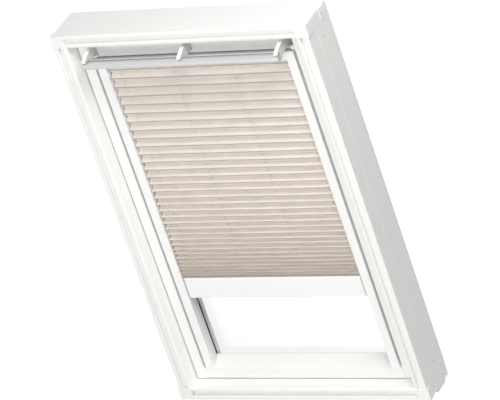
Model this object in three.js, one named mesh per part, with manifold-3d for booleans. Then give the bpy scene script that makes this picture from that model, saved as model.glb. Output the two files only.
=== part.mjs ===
import * as THREE from "three";
import { mergeVertices } from "three/addons/utils/BufferGeometryUtils.js";
import Module from "manifold-3d";

// A centre-pivot roof window with a pleated blind on its sash, in millimetres.
// X runs to the right as seen from the room, Y from the room to the outside, Z up the roof slope.
// The origin is the middle of the sill's underside. Depths are measured back from the frame's room face.

// Overall
const frame_width = 780;
const frame_height = 1178;
const frame_depth = 127;

// Clearances
const touch_gap = 0.3;
const overrun = 5;

// How many sides or steps a curve is drawn with
const rod_sides = 24;
const screw_sides = 12;
const washer_sides = 32;
const cord_sides = 8;
const corner_steps = 3;
const flap_steps = 12;

// Frame boards, measured inward from their outer edge
const outer_lip = 10.6;
const lining_groove = 17;
const lining_groove_depth = 11;
const inner_lip = 10.2;
const inner_lip_drop = 2.8;
const lip_curve_shares = [
  [0.45, 0.1],
  [0.8, 0.45],
];
const reveal_splay = 5.2;
const edge_round = 1.2;
const score_width = 2.4;
const score_depth = 2.6;
const jamb_score_at = 46.5;
const rail_score_at = 19;

// Comb joints at the frame's corners
const finger_length = 36;
const corner_block_depth = 19;
const corner_block_proud = 3;
const head_band_shares = [0.42, 0.655, 0.86, 1];
const sill_band_shares = [0.42, 0.795, 1];
const rail_finger_short = 1.5;
const head_finger_proud = 2;
const sill_finger_proud = 10;

// Frame screws
const screw_radius = 3.2;
const screw_length = 25;
const screw_from_end = 78;
const screw_at_depth = 75.5;

// Sash
const sash_gap = 3;
const sash_face_at = 38;
const sash_depth = 66;
const stile_face = 30.7;
const stile_leg = 27.3;
const rail_face = 32;
const rail_slope = 22;
const leg_front_at = 70.6;
const leg_thickness = 8.8;
const rebate_land = 7.3;
const head_rail_front_at = 60;
const head_rail_height = 54;
const head_rail_chamfer = 16;

// Glazing
const pane_thickness = 4;
const pane_gap = 12;
const pane_edge_gap = 2;
const side_gasket_width = 3.2;
const side_gasket_depth = 3.4;
const spacer_width = 12;
const spacer_side_inset = 109;
const spacer_end_inset = 90;
const cover_thickness = 3.7;
const side_cover_lap = 15;
const end_cover_lap = 6;
const cover_edge = 1;

// Pivots
const pivot_at_depth = 60;
const pin_radius = 6;
const pin_reach = 8;
const plate_thickness = 2.8;
const plate_width = 28;
const plate_height = 110;
const plate_inset = 0.2;
const washer_radius = 17;
const seal_thickness = 1.7;
const seal_width = 6;
const seal_at_depth = 64;
const seal_from_pivot = 62;

// Ventilation flap and its control bar, placed from the top edge of the sash
const flap_side_clear = 101;
const flap_top_below = 1.5;
const flap_height = 44;
const flap_edge_before_hinge = 4.5;
const flap_bulge = 5;
const flap_wall = 2.6;
const hinge_before_rail = 10;
const hinge_below = 43;
const hinge_barrel_radius = 4.2;
const hinge_rod_radius = 2.4;
const rod_bracket_side = 12;
const arm_thickness = 11;
const bar_below = 31;
const bar_centre_at = -21.5;
const bar_height = 24;
const bar_width = 20;

// Section of the bar, as shares of its width from the front and of its height from the top
const bar_section_shares = [
  [1, 0],
  [0.8, 0],
  [0.76, 0.03],
  [0.76, 0.09],
  [0.87, 0.11],
  [0.87, 0.17],
  [0.7, 0.2],
  [0.45, 0.27],
  [0.22, 0.38],
  [0.07, 0.52],
  [0, 0.68],
  [0.03, 0.82],
  [0.13, 0.93],
  [0.3, 1],
  [0.92, 1],
  [1, 0.95],
];

// Edges of the arms, as shares of the bar's width behind it and of its height above its middle
const arm_neck_shares = [
  [0.3, 0.88],
  [1.1, 1.1],
];
const arm_throat_shares = [
  [1, 0],
  [0.55, -0.18],
  [0.15, -0.35],
];
const arm_nose_shares = [
  [-0.3, -0.3],
  [-0.3, 0.4],
  [-0.55, 0.4],
  [-0.76, 0.3],
  [-0.7, 0.54],
  [-0.45, 0.66],
];
const side_plate_shoulder_share = 2;
const middle_arm_shoulder_share = 1.9;
const side_plate_heel_shares = [1.6, -0.02];
const middle_arm_heel_share = -0.02;
const hinge_eye_shares = [0.7, 0.9];

// Latch in the head of the sash
const latch_case_width = 80;
const latch_case_front_at = 50;
const latch_case_height = 34;
const latch_wall = 2.5;
const tongue_width = 18;
const tongue_thickness = 5;
const tongue_length = 34;
const tongue_proud = 9;
const keeper_room = 7;
const keeper_height = 8;
const keeper_thickness = 7.5;

// Blind
const blind_front_at = 38;
const channel_from_stile = 8;
const channel_width = 25.6;
const channel_depth = 32.3;
const channel_wall = 1.6;
const channel_slit = 2;
const channel_slit_at = 61;
const channel_top_below = 53;
const headrail_below = 51.5;
const headrail_height = 26.5;
const headrail_wall = 1.8;
const headrail_round = 3;
const end_cap = 3.5;
const cloth_side_gap = 2.4;
const cloth_thickness = 1.5;
const cloth_centre_at = 48.5;
const pleat_panel = 20;
const pleat_open_share = 0.66;
const first_pleat_drop = 9;
const cloth_drop_share = 0.754;
const pleat_ease = 1.6;
const pleat_spread = 2.5;
const cord_radius = 0.6;
const cord_place_shares = [-0.877, -0.296, 0.361, 0.953];
const blind_bar_height = 65;
const blind_bar_depth = 20;
const blind_bar_from = 2;
const blind_bar_wall = 1.6;
const blind_bar_round = 3.2;
const blind_bar_side_gap = 4;
const glide_thickness = 1.3;
const glide_height = 30;
const glide_reach = 8;

// Derived places
const half_width = frame_width / 2;
const frame_wall = outer_lip + lining_groove + inner_lip + reveal_splay;
const pivot_height = frame_height / 2;
const sash_inset = frame_wall + sash_gap;
const sash_half_width = half_width - sash_inset;
const sash_top = frame_height - sash_inset;
const sash_bottom = sash_inset;
const sash_back_at = sash_face_at + sash_depth;
const stile_inner = sash_half_width - stile_face;
const leg_inner = stile_inner - stile_leg;
const leg_back_at = leg_front_at + leg_thickness;
const glass_bottom = sash_bottom + rail_face + rail_slope;
const glass_top = sash_top - rail_face - rail_slope;
const pane_front_at = leg_back_at + touch_gap;
const spacer_front_at = pane_front_at + pane_thickness + touch_gap;
const outer_pane_front_at = spacer_front_at + pane_gap + touch_gap;
const outer_pane_back_at = outer_pane_front_at + pane_thickness;
const channel_outer = stile_inner - channel_from_stile;
const channel_inner = channel_outer - channel_width;
const flap_half_width = half_width - flap_side_clear;
const hinge_at_depth = head_rail_front_at - hinge_before_rail;
const flap_edge_at = hinge_at_depth - flap_edge_before_hinge;
const bar_back_at = bar_centre_at + bar_width / 2;

const wasm = await Module();
wasm.setup();

const white_coating = { color: 0xfafaf8, roughness: 0.45, metalness: 0 };
const white_plastic = { color: 0xf7f7f5, roughness: 0.35, metalness: 0 };
const white_aluminium = { color: 0xf8f8f6, roughness: 0.4, metalness: 0.1 };
const bare_aluminium = { color: 0xc9cccd, roughness: 0.3, metalness: 1 };
const lacquered_cladding = { color: 0xe6e7e5, roughness: 0.5, metalness: 0.4 };
const zinc_steel = { color: 0xb4b6b8, roughness: 0.4, metalness: 1 };
const black_rubber = { color: 0x1d1e1e, roughness: 0.8, metalness: 0 };
const clear_glass = { color: 0xeef4f2, roughness: 0.02, metalness: 0, transparent: true, opacity: 0.3 };
const grey_spacer = { color: 0xb9bbba, roughness: 0.5, metalness: 0.3 };
const beige_cloth = { color: 0xe6d9cf, roughness: 0.9, metalness: 0 };
const white_cord = { color: 0xe9e2da, roughness: 0.8, metalness: 0 };

// Depth behind the frame's room face, as a Y place
function deep(depth) {
  return depth - frame_depth / 2;
}

// An outline pushed outward by a clearance, its corners kept sharp
function grown(points, clearance) {
  const flat = points.map(([u, v]) => new THREE.Vector2(u, v));
  const turn = Math.sign(THREE.ShapeUtils.area(flat));
  return flat.map((here, i) => {
    const before = flat[(i + flat.length - 1) % flat.length];
    const after = flat[(i + 1) % flat.length];
    const a = here.clone().sub(before).normalize();
    const b = after.clone().sub(here).normalize();
    const out_a = new THREE.Vector2(a.y, -a.x).multiplyScalar(turn);
    const out_b = new THREE.Vector2(b.y, -b.x).multiplyScalar(turn);
    const half = out_a.clone().add(out_b);
    half.multiplyScalar(clearance / (1 + out_a.dot(out_b)));
    return [here.x + half.x, here.y + half.y];
  });
}

function outline(points) {
  return new THREE.Shape(points.map(([u, v]) => new THREE.Vector2(u, v)));
}

function solid(geometry) {
  geometry.deleteAttribute("normal");
  geometry.deleteAttribute("uv");
  const merged = mergeVertices(geometry);
  return new wasm.Manifold(
    new wasm.Mesh({
      numProp: 3,
      vertProperties: merged.attributes.position.array,
      triVerts: new Uint32Array(merged.index.array),
    }),
  );
}

function raised(points, length) {
  return new THREE.ExtrudeGeometry(outline(points), { depth: length, bevelEnabled: false });
}

// A section of x and y places, run from one height to another
function along_z(points, from, to) {
  return solid(raised(points, to - from).translate(0, 0, from));
}

// A section of y and z places, run from one x place to another
function along_x(points, from, to) {
  const turned = new THREE.Matrix4().set(0, 0, 1, 0, 1, 0, 0, 0, 0, 1, 0, 0, 0, 0, 0, 1);
  return solid(raised(points, to - from).applyMatrix4(turned).translate(from, 0, 0));
}

// A section of x and z places, run from one depth to another
function along_y(points, from, to) {
  const turned = new THREE.Matrix4().set(1, 0, 0, 0, 0, 0, -1, 0, 0, 1, 0, 0, 0, 0, 0, 1);
  return solid(raised(points, to - from).applyMatrix4(turned).translate(0, to, 0));
}

function box(x, y, z) {
  return along_z(rectangle(x, y), Math.min(...z), Math.max(...z));
}

function rectangle([u0, u1], [v0, v1]) {
  return [
    [u0, v0],
    [u1, v0],
    [u1, v1],
    [u0, v1],
  ];
}

// A rectangle whose corners are quarter rounds
function rounded(u, v, radius) {
  const [u0, u1] = u;
  const [v0, v1] = v;
  const centres = [
    [u1 - radius, v0 + radius, -Math.PI / 2],
    [u1 - radius, v1 - radius, 0],
    [u0 + radius, v1 - radius, Math.PI / 2],
    [u0 + radius, v0 + radius, Math.PI],
  ];
  return centres.flatMap(([cu, cv, start]) =>
    Array.from({ length: corner_steps + 1 }, (_, i) => {
      const angle = start + ((Math.PI / 2) * i) / corner_steps;
      return [cu + radius * Math.cos(angle), cv + radius * Math.sin(angle)];
    }),
  );
}

// A round bar along X, centred on a depth and a height
function rod_x(radius, depth, height, from, to, count = rod_sides) {
  const ring = Array.from({ length: count }, (_, i) => {
    const angle = (2 * Math.PI * i) / count;
    return [deep(depth) + radius * Math.cos(angle), height + radius * Math.sin(angle)];
  });
  return along_x(ring, Math.min(from, to), Math.max(from, to));
}

function span(a, b) {
  return [Math.min(a, b), Math.max(a, b)];
}

function mesh(name, shape, finish) {
  const made = shape.getMesh();
  const geometry = new THREE.BufferGeometry();
  geometry.setAttribute("position", new THREE.BufferAttribute(made.vertProperties, 3));
  geometry.setIndex(new THREE.BufferAttribute(made.triVerts, 1));
  const piece = new THREE.Mesh(geometry, new THREE.MeshStandardMaterial(finish));
  piece.name = name;
  return piece;
}

function assembly(name, pieces) {
  const group = new THREE.Group();
  group.name = name;
  group.add(...pieces.flat());
  return group;
}

const sides = [
  ["left", -1],
  ["right", 1],
];

// Frame

// Outline of a frame board as inset and depth, with the lining groove and, on its outer face, a scored line
// that is steep towards the room and slopes out behind
function board_section(score_at) {
  const groove_start = outer_lip;
  const groove_end = outer_lip + lining_groove;
  const lip_end = groove_end + inner_lip;
  return [
    [0, edge_round],
    [edge_round, 0],
    [groove_start - edge_round, 0],
    [groove_start, edge_round],
    [groove_start, lining_groove_depth],
    [groove_end, lining_groove_depth],
    [groove_end, edge_round],
    [groove_end + edge_round, 0],
    ...lip_curve_shares.map(([across, drop]) => [groove_end + inner_lip * across, inner_lip_drop * drop]),
    [lip_end, inner_lip_drop],
    [frame_wall, sash_face_at],
    [frame_wall, frame_depth],
    [0, frame_depth],
    [0, score_at + score_width / 2],
    [score_depth, score_at - score_width / 2],
    [0, score_at - score_width / 2],
  ];
}

// The corner zone of one joint: x by inset from the side, z by inset from the end
function corner_box(side, top, inset_x, inset_z, depths) {
  const end = top ? frame_height : 0;
  const inward = top ? -1 : 1;
  return box(
    span(side * (half_width - inset_x[0]), side * (half_width - inset_x[1])),
    depths.map(deep),
    span(end + inward * inset_z[0], end + inward * inset_z[1]),
  );
}

// The half of a corner that a mitre takes off a jamb, or off a rail
function mitre_cut(side, top, from_jamb) {
  const end = top ? frame_height : 0;
  const inward = top ? -1 : 1;
  const far = frame_wall + overrun;
  const slip = touch_gap / Math.SQRT2;
  const half = [
    [-overrun, slip - overrun],
    [far, far + slip],
    [far, -2 * overrun],
    [-overrun, -2 * overrun],
  ];
  const points = half.map(([a, b]) => {
    const [from_side, from_end] = from_jamb ? [a, b] : [b, a];
    return [side * (half_width - from_side), end + inward * from_end];
  });
  return along_y(points, deep(-overrun), deep(frame_depth + overrun));
}

// Depth bands of a comb joint, behind the corner block; the rail holds the first band and every other one
function bands(top) {
  const shares = top ? head_band_shares : sill_band_shares;
  const ends = [corner_block_depth, ...shares.map((share) => share * frame_depth)];
  return shares.map((_, i) => ({ from: ends[i], to: ends[i + 1], of_rail: i % 2 === 0 }));
}

function comb(shape, side, top, from_jamb) {
  let made = shape.subtract(mitre_cut(side, top, from_jamb));
  const reach = finger_length + 2 * touch_gap;
  for (const band of bands(top).filter(({ of_rail }) => of_rail !== from_jamb)) {
    const low = band.from + touch_gap / 2;
    const high = Math.min(band.to - touch_gap / 2, frame_depth);
    const jamb_end = top ? 0 : -sill_finger_proud;
    const rail_end = top ? -head_finger_proud : rail_finger_short;
    made = made.add(
      from_jamb
        ? corner_box(side, top, [0, finger_length], [jamb_end, reach], [low, high])
        : corner_box(side, top, [rail_end, reach], [rail_finger_short, finger_length], [low, high]),
    );
  }
  const clear = finger_length + touch_gap;
  for (const band of bands(top).filter(({ of_rail }) => of_rail === from_jamb)) {
    const back = band.to >= frame_depth ? frame_depth + overrun : band.to + touch_gap / 2;
    const zone = [-overrun, clear];
    made = made.subtract(corner_box(side, top, zone, zone, [band.from - touch_gap / 2, back]));
  }
  const zone = [-overrun, clear];
  return made.subtract(corner_box(side, top, zone, zone, [-overrun, corner_block_depth + touch_gap / 2]));
}

function frame_jamb(side) {
  const section = board_section(jamb_score_at).map(([inset, d]) => [side * (half_width - inset), deep(d)]);
  let made = along_z(section, 0, frame_height);
  made = comb(made, side, true, true);
  made = comb(made, side, false, true);
  const wall = side * (half_width - frame_wall);
  const bore_end = wall + side * (pin_reach + touch_gap);
  const plate_bed = wall + side * (plate_thickness + plate_inset + touch_gap);
  made = made.subtract(plate_box(span(wall - side * overrun, plate_bed), touch_gap));
  made = made.subtract(
    rod_x(pin_radius + touch_gap, pivot_at_depth, pivot_height, wall - side * overrun, bore_end),
  );
  for (const height of screw_heights()) {
    const inner = side * (half_width - screw_length - touch_gap);
    const outer = side * (half_width + overrun);
    made = made.subtract(rod_x(screw_radius + touch_gap, screw_at_depth, height, inner, outer, screw_sides));
  }
  return made;
}

function screw_heights() {
  return [screw_from_end, frame_height - screw_from_end];
}

function plate_box(x, clearance) {
  const half = plate_width / 2 + clearance;
  const tall = plate_height / 2 + clearance;
  return box(
    x,
    [deep(pivot_at_depth - half), deep(pivot_at_depth + half)],
    [pivot_height - tall, pivot_height + tall],
  );
}

function frame_rail(top) {
  const section = board_section(rail_score_at).map(([inset, d]) => [deep(d), top ? frame_height - inset : inset]);
  let made = along_x(section, -half_width, half_width);
  for (const [, side] of sides) made = comb(made, side, top, false);
  return made;
}

function keeper_slot(made) {
  const half = tongue_width / 2 + keeper_room;
  const from = deep(inner_lip_drop + edge_round);
  const to = deep(tongue_back_at() + 2 * keeper_thickness);
  const roof = frame_height - frame_wall;
  return made.subtract(box([-half, half], [from, to], [roof - overrun, roof + keeper_height]));
}

function tongue_back_at() {
  return head_rail_front_at - touch_gap - latch_wall;
}

function striker() {
  const half = tongue_width / 2 + keeper_room - touch_gap;
  const to = tongue_back_at() + 2 * keeper_thickness - touch_gap;
  const roof = frame_height - frame_wall;
  return box([-half, half], [deep(to - keeper_thickness), deep(to)], [roof, roof + keeper_height - touch_gap]);
}

function corner_block(side, top) {
  const size = [-corner_block_proud, finger_length];
  return corner_box(side, top, size, [0, finger_length], [0, corner_block_depth - touch_gap / 2]);
}

function frame_pieces() {
  const pieces = [
    mesh("frame_head", keeper_slot(frame_rail(true)), white_coating),
    mesh("frame_sill", frame_rail(false), white_coating),
    mesh("striker_plate", striker(), zinc_steel),
  ];
  for (const [word, side] of sides) {
    pieces.push(mesh(`jamb_${word}`, frame_jamb(side), white_coating));
    pieces.push(mesh(`corner_block_top_${word}`, corner_block(side, true), white_coating));
    pieces.push(mesh(`corner_block_bottom_${word}`, corner_block(side, false), white_coating));
    const [low, high] = screw_heights();
    pieces.push(mesh(`corner_screw_bottom_${word}`, corner_screw(side, low), zinc_steel));
    pieces.push(mesh(`corner_screw_top_${word}`, corner_screw(side, high), zinc_steel));
    pieces.push(mesh(`jamb_plate_${word}`, jamb_plate(side), zinc_steel));
    pieces.push(mesh(`friction_washer_${word}`, friction_washer(side), black_rubber));
  }
  return assembly("frame", pieces);
}

function corner_screw(side, height) {
  const head = side * (half_width - edge_round);
  return rod_x(screw_radius, screw_at_depth, height, side * (half_width - screw_length), head, screw_sides);
}

function pin_bore(from, to) {
  return rod_x(pin_radius + touch_gap, pivot_at_depth, pivot_height, from, to);
}

function jamb_plate(side) {
  const face = side * (half_width - frame_wall + plate_inset);
  const back = face + side * plate_thickness;
  return plate_box(span(face, back), 0).subtract(pin_bore(face - side * overrun, back + side * overrun));
}

function friction_washer(side) {
  const inner = side * (sash_half_width + touch_gap);
  const outer = side * (half_width - frame_wall - touch_gap);
  const disc = rod_x(washer_radius, pivot_at_depth, pivot_height, inner, outer, washer_sides);
  return disc.subtract(pin_bore(inner - side * overrun, outer + side * overrun));
}

// Sash

function stile(side) {
  const leg_edge = stile_face + stile_leg;
  const rebate = stile_face + rebate_land;
  const face = [
    [edge_round, sash_face_at],
    [stile_face - edge_round, sash_face_at],
    [stile_face, sash_face_at + edge_round],
    [stile_face, sash_back_at],
    [0, sash_back_at],
    [0, sash_face_at + edge_round],
  ];
  const place = ([inset, d]) => [side * (sash_half_width - inset), deep(d)];
  const leg = rectangle([stile_face - overrun, leg_edge], [leg_front_at, leg_back_at]);
  const land = rectangle([stile_face - overrun, rebate], [leg_front_at, sash_back_at]);
  const leg_ends = [glass_bottom + touch_gap, glass_top - touch_gap];
  let made = along_z(face.map(place), sash_bottom, sash_top);
  made = made.add(along_z(leg.map(place), ...leg_ends));
  made = made.add(along_z(land.map(place), ...leg_ends));
  const edge = side * sash_half_width;
  const bed = edge - side * (plate_thickness + plate_inset + touch_gap);
  made = made.subtract(plate_box(span(edge + side * overrun, bed), touch_gap));
  return made.subtract(pin_bore(edge + side * overrun, edge - side * (pin_reach + touch_gap)));
}

function stile_plate(side) {
  const face = side * (sash_half_width - plate_inset);
  const back = face - side * plate_thickness;
  return plate_box(span(face, back), 0).subtract(pin_bore(face + side * overrun, back - side * overrun));
}

function pivot_pin(side) {
  const inner = side * (sash_half_width - pin_reach);
  const outer = side * (half_width - frame_wall + pin_reach);
  return rod_x(pin_radius, pivot_at_depth, pivot_height, inner, outer);
}

function sash_sill() {
  const section = [
    [sash_face_at, sash_bottom + edge_round],
    [sash_face_at, sash_bottom + rail_face - edge_round],
    [sash_face_at + edge_round, sash_bottom + rail_face],
    [leg_back_at, glass_bottom],
    [leg_back_at, sash_bottom + rail_face - edge_round],
    [sash_back_at, sash_bottom + rail_face - edge_round],
    [sash_back_at, sash_bottom],
    [sash_face_at + edge_round, sash_bottom],
  ];
  const reach = stile_inner - touch_gap;
  return along_x(section.map(([d, z]) => [deep(d), z]), -reach, reach);
}

function sash_head() {
  const land = sash_top - rail_face + edge_round;
  const section = [
    [head_rail_front_at, sash_top],
    [head_rail_front_at, sash_top - head_rail_height + head_rail_chamfer],
    [leg_back_at, glass_top],
    [leg_back_at, land],
    [sash_back_at, land],
    [sash_back_at, sash_top],
  ];
  const reach = stile_inner - touch_gap;
  return along_x(section.map(([d, z]) => [deep(d), z]), -reach, reach);
}

function pane(front_at) {
  const half = stile_inner - rebate_land - pane_edge_gap;
  const low = sash_bottom + rail_face;
  const high = sash_top - rail_face;
  return box([-half, half], [deep(front_at), deep(front_at + pane_thickness)], [low, high]);
}

// The spacer between the panes, with its sides further in than its ends
function spacer() {
  const inner = half_width - spacer_side_inset;
  const low = spacer_end_inset;
  const high = frame_height - spacer_end_inset;
  const ring = outline(
    rectangle([-inner - spacer_width, inner + spacer_width], [low - spacer_width, high + spacer_width]),
  );
  ring.holes.push(outline(rectangle([-inner, inner], [low, high])));
  const made = new THREE.ExtrudeGeometry(ring, { depth: pane_gap, bevelEnabled: false });
  made.rotateX(Math.PI / 2);
  return solid(made.translate(0, deep(spacer_front_at + pane_gap), 0));
}

function side_gasket(side) {
  const outer = side * (leg_inner - touch_gap);
  const inner = outer - side * side_gasket_width;
  const back = leg_back_at;
  return box(
    span(outer, inner),
    [deep(back - side_gasket_depth), deep(back)],
    [glass_bottom + touch_gap, glass_top - touch_gap],
  );
}

// Outside covers: a plate on the back of the sash and a foot that presses on the glazing
function cover_parts(step, lap) {
  const back = sash_back_at + touch_gap;
  return {
    plate: rectangle([cover_edge, step + lap], [back, back + cover_thickness]),
    foot: rectangle([step, step + lap], [outer_pane_back_at + touch_gap, back + cover_thickness / 2]),
  };
}

function side_cover_step() {
  return stile_face + rebate_land + pane_edge_gap;
}

function side_cover(side) {
  const { plate, foot } = cover_parts(side_cover_step(), side_cover_lap);
  const place = ([inset, d]) => [side * (sash_half_width - inset), deep(d)];
  const clear_of_rail = rail_face + touch_gap;
  const made = along_z(plate.map(place), sash_bottom + cover_edge, sash_top - cover_edge);
  return made.add(along_z(foot.map(place), sash_bottom + clear_of_rail, sash_top - clear_of_rail));
}

function end_cover(top) {
  const { plate, foot } = cover_parts(rail_face + touch_gap, end_cover_lap);
  const place = ([inset, d]) => [deep(d), top ? sash_top - inset : sash_bottom + inset];
  const reach = sash_half_width - side_cover_step() - side_cover_lap - touch_gap;
  return along_x(plate.map(place), -reach, reach).add(along_x(foot.map(place), -reach, reach));
}

// Half of the weather seal, a U that lies on the edge of the sash and stops short of the pivots
function seal(top) {
  const end = top ? sash_top : sash_bottom;
  const outward = top ? 1 : -1;
  const far = sash_half_width + touch_gap;
  const near_end = end + outward * touch_gap;
  const depths = [deep(seal_at_depth), deep(seal_at_depth + seal_width)];
  const from = pivot_height + outward * seal_from_pivot;
  const across = far + seal_thickness;
  const whole = box([-across, across], depths, span(from, near_end + outward * seal_thickness));
  return whole.subtract(
    box([-far, far], [depths[0] - overrun, depths[1] + overrun], span(from - outward * overrun, near_end)),
  );
}

function sash_pieces() {
  const pieces = [
    mesh("sash_head", sash_head(), white_coating),
    mesh("sash_sill", sash_sill(), white_coating),
    mesh("pane_inner", pane(pane_front_at), clear_glass),
    mesh("pane_outer", pane(outer_pane_front_at), clear_glass),
    mesh("pane_spacer", spacer(), grey_spacer),
    mesh("cover_top", end_cover(true), lacquered_cladding),
    mesh("cover_bottom", end_cover(false), lacquered_cladding),
    mesh("weather_seal_upper", seal(true), black_rubber),
    mesh("weather_seal_lower", seal(false), black_rubber),
    mesh("latch_case", latch_case(), white_plastic),
    mesh("flap_rod", flap_rod(), zinc_steel),
  ];
  for (const [word, side] of sides) {
    pieces.push(mesh(`stile_${word}`, stile(side), white_coating));
    pieces.push(mesh(`side_gasket_${word}`, side_gasket(side), black_rubber));
    pieces.push(mesh(`cover_${word}`, side_cover(side), lacquered_cladding));
    pieces.push(mesh(`stile_plate_${word}`, stile_plate(side), zinc_steel));
    pieces.push(mesh(`pivot_pin_${word}`, pivot_pin(side), zinc_steel));
    pieces.push(mesh(`rod_bracket_${word}`, rod_bracket(side), white_plastic));
  }
  return assembly("sash", pieces);
}

// Latch

function latch_top() {
  return sash_top - flap_top_below;
}

function latch_case() {
  const top = latch_top();
  const low = top - latch_case_height;
  const half = latch_case_width / 2;
  const block = box([-half, half], [latch_case_front_at, head_rail_front_at - touch_gap].map(deep), [low, top]);
  const well = tongue_width / 2 + touch_gap;
  const depths = [tongue_back_at() - tongue_thickness - touch_gap, tongue_back_at() + touch_gap].map(deep);
  return block.subtract(box([-well, well], depths, [low + latch_wall, top + overrun]));
}

function latch_tongue() {
  const top = sash_top + tongue_proud;
  const depths = [tongue_back_at() - tongue_thickness, tongue_back_at()].map(deep);
  return box([-tongue_width / 2, tongue_width / 2], depths, [top - tongue_length, top]);
}

// Flap with its control bar

// Points of the flap's bulging face, pushed outward by a clearance
function flap_arc(clearance) {
  const half = flap_height / 2;
  const radius = (half * half + flap_bulge * flap_bulge) / (2 * flap_bulge);
  const centre_depth = flap_edge_at - flap_bulge + radius;
  const centre_height = sash_top - flap_top_below - half;
  const swing = Math.asin(half / radius);
  return Array.from({ length: flap_steps + 1 }, (_, i) => {
    const angle = swing * (1 - (2 * i) / flap_steps);
    const r = radius + clearance;
    return [deep(centre_depth - r * Math.cos(angle)), centre_height + r * Math.sin(angle)];
  });
}

function flap() {
  const shell = [...flap_arc(0), ...flap_arc(-flap_wall).reverse()];
  const hinge_height = sash_top - hinge_below;
  const lower = flap_arc(0).at(-1);
  const web = [
    lower,
    [deep(hinge_at_depth), hinge_height - hinge_barrel_radius],
    [deep(hinge_at_depth), hinge_height + hinge_rod_radius],
    flap_arc(-flap_wall / 2).at(-2),
  ];
  const reach = flap_half_width - touch_gap;
  const barrel = rod_x(hinge_barrel_radius, hinge_at_depth, hinge_height, -reach, reach);
  const bore = rod_x(hinge_rod_radius + touch_gap, hinge_at_depth, hinge_height, -reach - overrun, reach + overrun);
  return along_x(shell, -reach, reach).add(along_x(web, -reach, reach)).add(barrel).subtract(bore);
}

function flap_rod() {
  const reach = flap_half_width + arm_thickness + rod_bracket_side / 2;
  return rod_x(hinge_rod_radius, hinge_at_depth, sash_top - hinge_below, -reach, reach);
}

function rod_bracket(side) {
  const height = sash_top - hinge_below;
  const inner = side * (flap_half_width + arm_thickness + touch_gap);
  const outer = side * (stile_inner - touch_gap);
  const half = rod_bracket_side / 2;
  const block = box(
    span(inner, outer),
    [deep(hinge_at_depth - half), deep(hinge_at_depth + half)],
    [height - half, height + half],
  );
  const end = side * (flap_half_width + arm_thickness + half + touch_gap);
  return block.subtract(rod_x(hinge_rod_radius + touch_gap, hinge_at_depth, height, inner - side * overrun, end));
}

// Section of the aluminium bar: a thin upper lip, a groove and a rounded lower face
function bar_section() {
  const top = sash_top - bar_below + bar_height / 2;
  const front = bar_back_at - bar_width;
  return bar_section_shares.map(([across, down]) => [deep(front + across * bar_width), top - down * bar_height]);
}

// Points given from the bar, as depths and distances below the top edge of the sash
function from_bar(shares) {
  return shares.map(([behind, above]) => [bar_back_at + behind * bar_width, bar_below - above * bar_height]);
}

function control_bar() {
  const reach = flap_half_width + arm_thickness;
  return along_x(bar_section(), -reach, reach);
}

// Room for the bar in an arm that holds it
function bar_room(from, to) {
  return along_x(grown(bar_section(), touch_gap), from, to);
}

// Outline of the side plates that carry the bar, from the hinge over the bar's upper lip and back along the flap
function side_plate_outline() {
  const back = hinge_at_depth + rod_bracket_side / 2;
  const [eye_across, eye_down] = hinge_eye_shares.map((share) => share * hinge_barrel_radius);
  return [
    ...from_bar([side_plate_heel_shares]),
    ...from_bar(arm_throat_shares),
    ...from_bar(arm_nose_shares),
    ...from_bar(arm_neck_shares),
    [bar_back_at + bar_width * side_plate_shoulder_share, flap_top_below + flap_wall],
    [flap_edge_at, flap_top_below],
    [back - edge_round, flap_top_below + flap_wall],
    [back, flap_top_below + 3 * flap_wall],
    [back, hinge_below],
    [hinge_at_depth + eye_across, hinge_below + eye_down],
    [hinge_at_depth - eye_across, hinge_below + eye_down],
    [hinge_at_depth - 2 * hinge_barrel_radius, hinge_below - hinge_barrel_radius],
  ].map(([d, below]) => [deep(d), sash_top - below]);
}

function side_plate(side) {
  const inner = side * flap_half_width;
  const outer = side * (flap_half_width + arm_thickness);
  const bore = rod_x(
    hinge_rod_radius + touch_gap,
    hinge_at_depth,
    sash_top - hinge_below,
    inner - side * overrun,
    outer + side * overrun,
  );
  const room = bar_room(...span(inner - side * overrun, outer + side * overrun));
  return along_x(side_plate_outline(), ...span(inner, outer)).subtract(bore).subtract(room);
}

// The middle arm reaches from the flap's face over the bar's upper lip
function middle_arm() {
  const points = [
    [flap_edge_at, bar_below - middle_arm_heel_share * bar_height],
    ...from_bar(arm_throat_shares),
    ...from_bar(arm_nose_shares),
    ...from_bar(arm_neck_shares),
    [bar_back_at + bar_width * middle_arm_shoulder_share, flap_top_below + 2 * flap_wall],
    [flap_edge_at, flap_top_below + 3 * flap_wall],
  ].map(([d, below]) => [deep(d), sash_top - below]);
  const half = arm_thickness / 2;
  const wide = half + overrun;
  const behind = [
    ...flap_arc(touch_gap),
    [deep(hinge_at_depth), sash_top - hinge_below - hinge_barrel_radius],
    [deep(hinge_at_depth), sash_top],
  ];
  return along_x(points, -half, half).subtract(along_x(behind, -wide, wide)).subtract(bar_room(-wide, wide));
}

function flap_pieces() {
  const plates = sides.map(([word, side]) => mesh(`bar_arm_${word}`, side_plate(side), white_plastic));
  return assembly("flap", [
    mesh("ventilation_flap", flap(), white_coating),
    mesh("control_bar", control_bar(), bare_aluminium),
    mesh("bar_arm_middle", middle_arm(), white_plastic),
    plates,
  ]);
}

// Blind

function headrail_top() {
  return sash_top - headrail_below;
}

function cloth_top() {
  return headrail_top() - headrail_height - touch_gap;
}

// The lowest place of the bar's underside, where its back edge meets the slope of the sash sill
function blind_floor() {
  const slope_share = (blind_bar_from + blind_bar_depth + glide_thickness) / (leg_back_at - sash_face_at);
  return sash_bottom + rail_face + rail_slope * slope_share;
}

function full_drop() {
  return cloth_top() - blind_floor() - blind_bar_height - 2 * touch_gap;
}

function cloth_drop() {
  return full_drop() * cloth_drop_share;
}

function blind_bar_top() {
  return cloth_top() - cloth_drop() - touch_gap;
}

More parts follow.
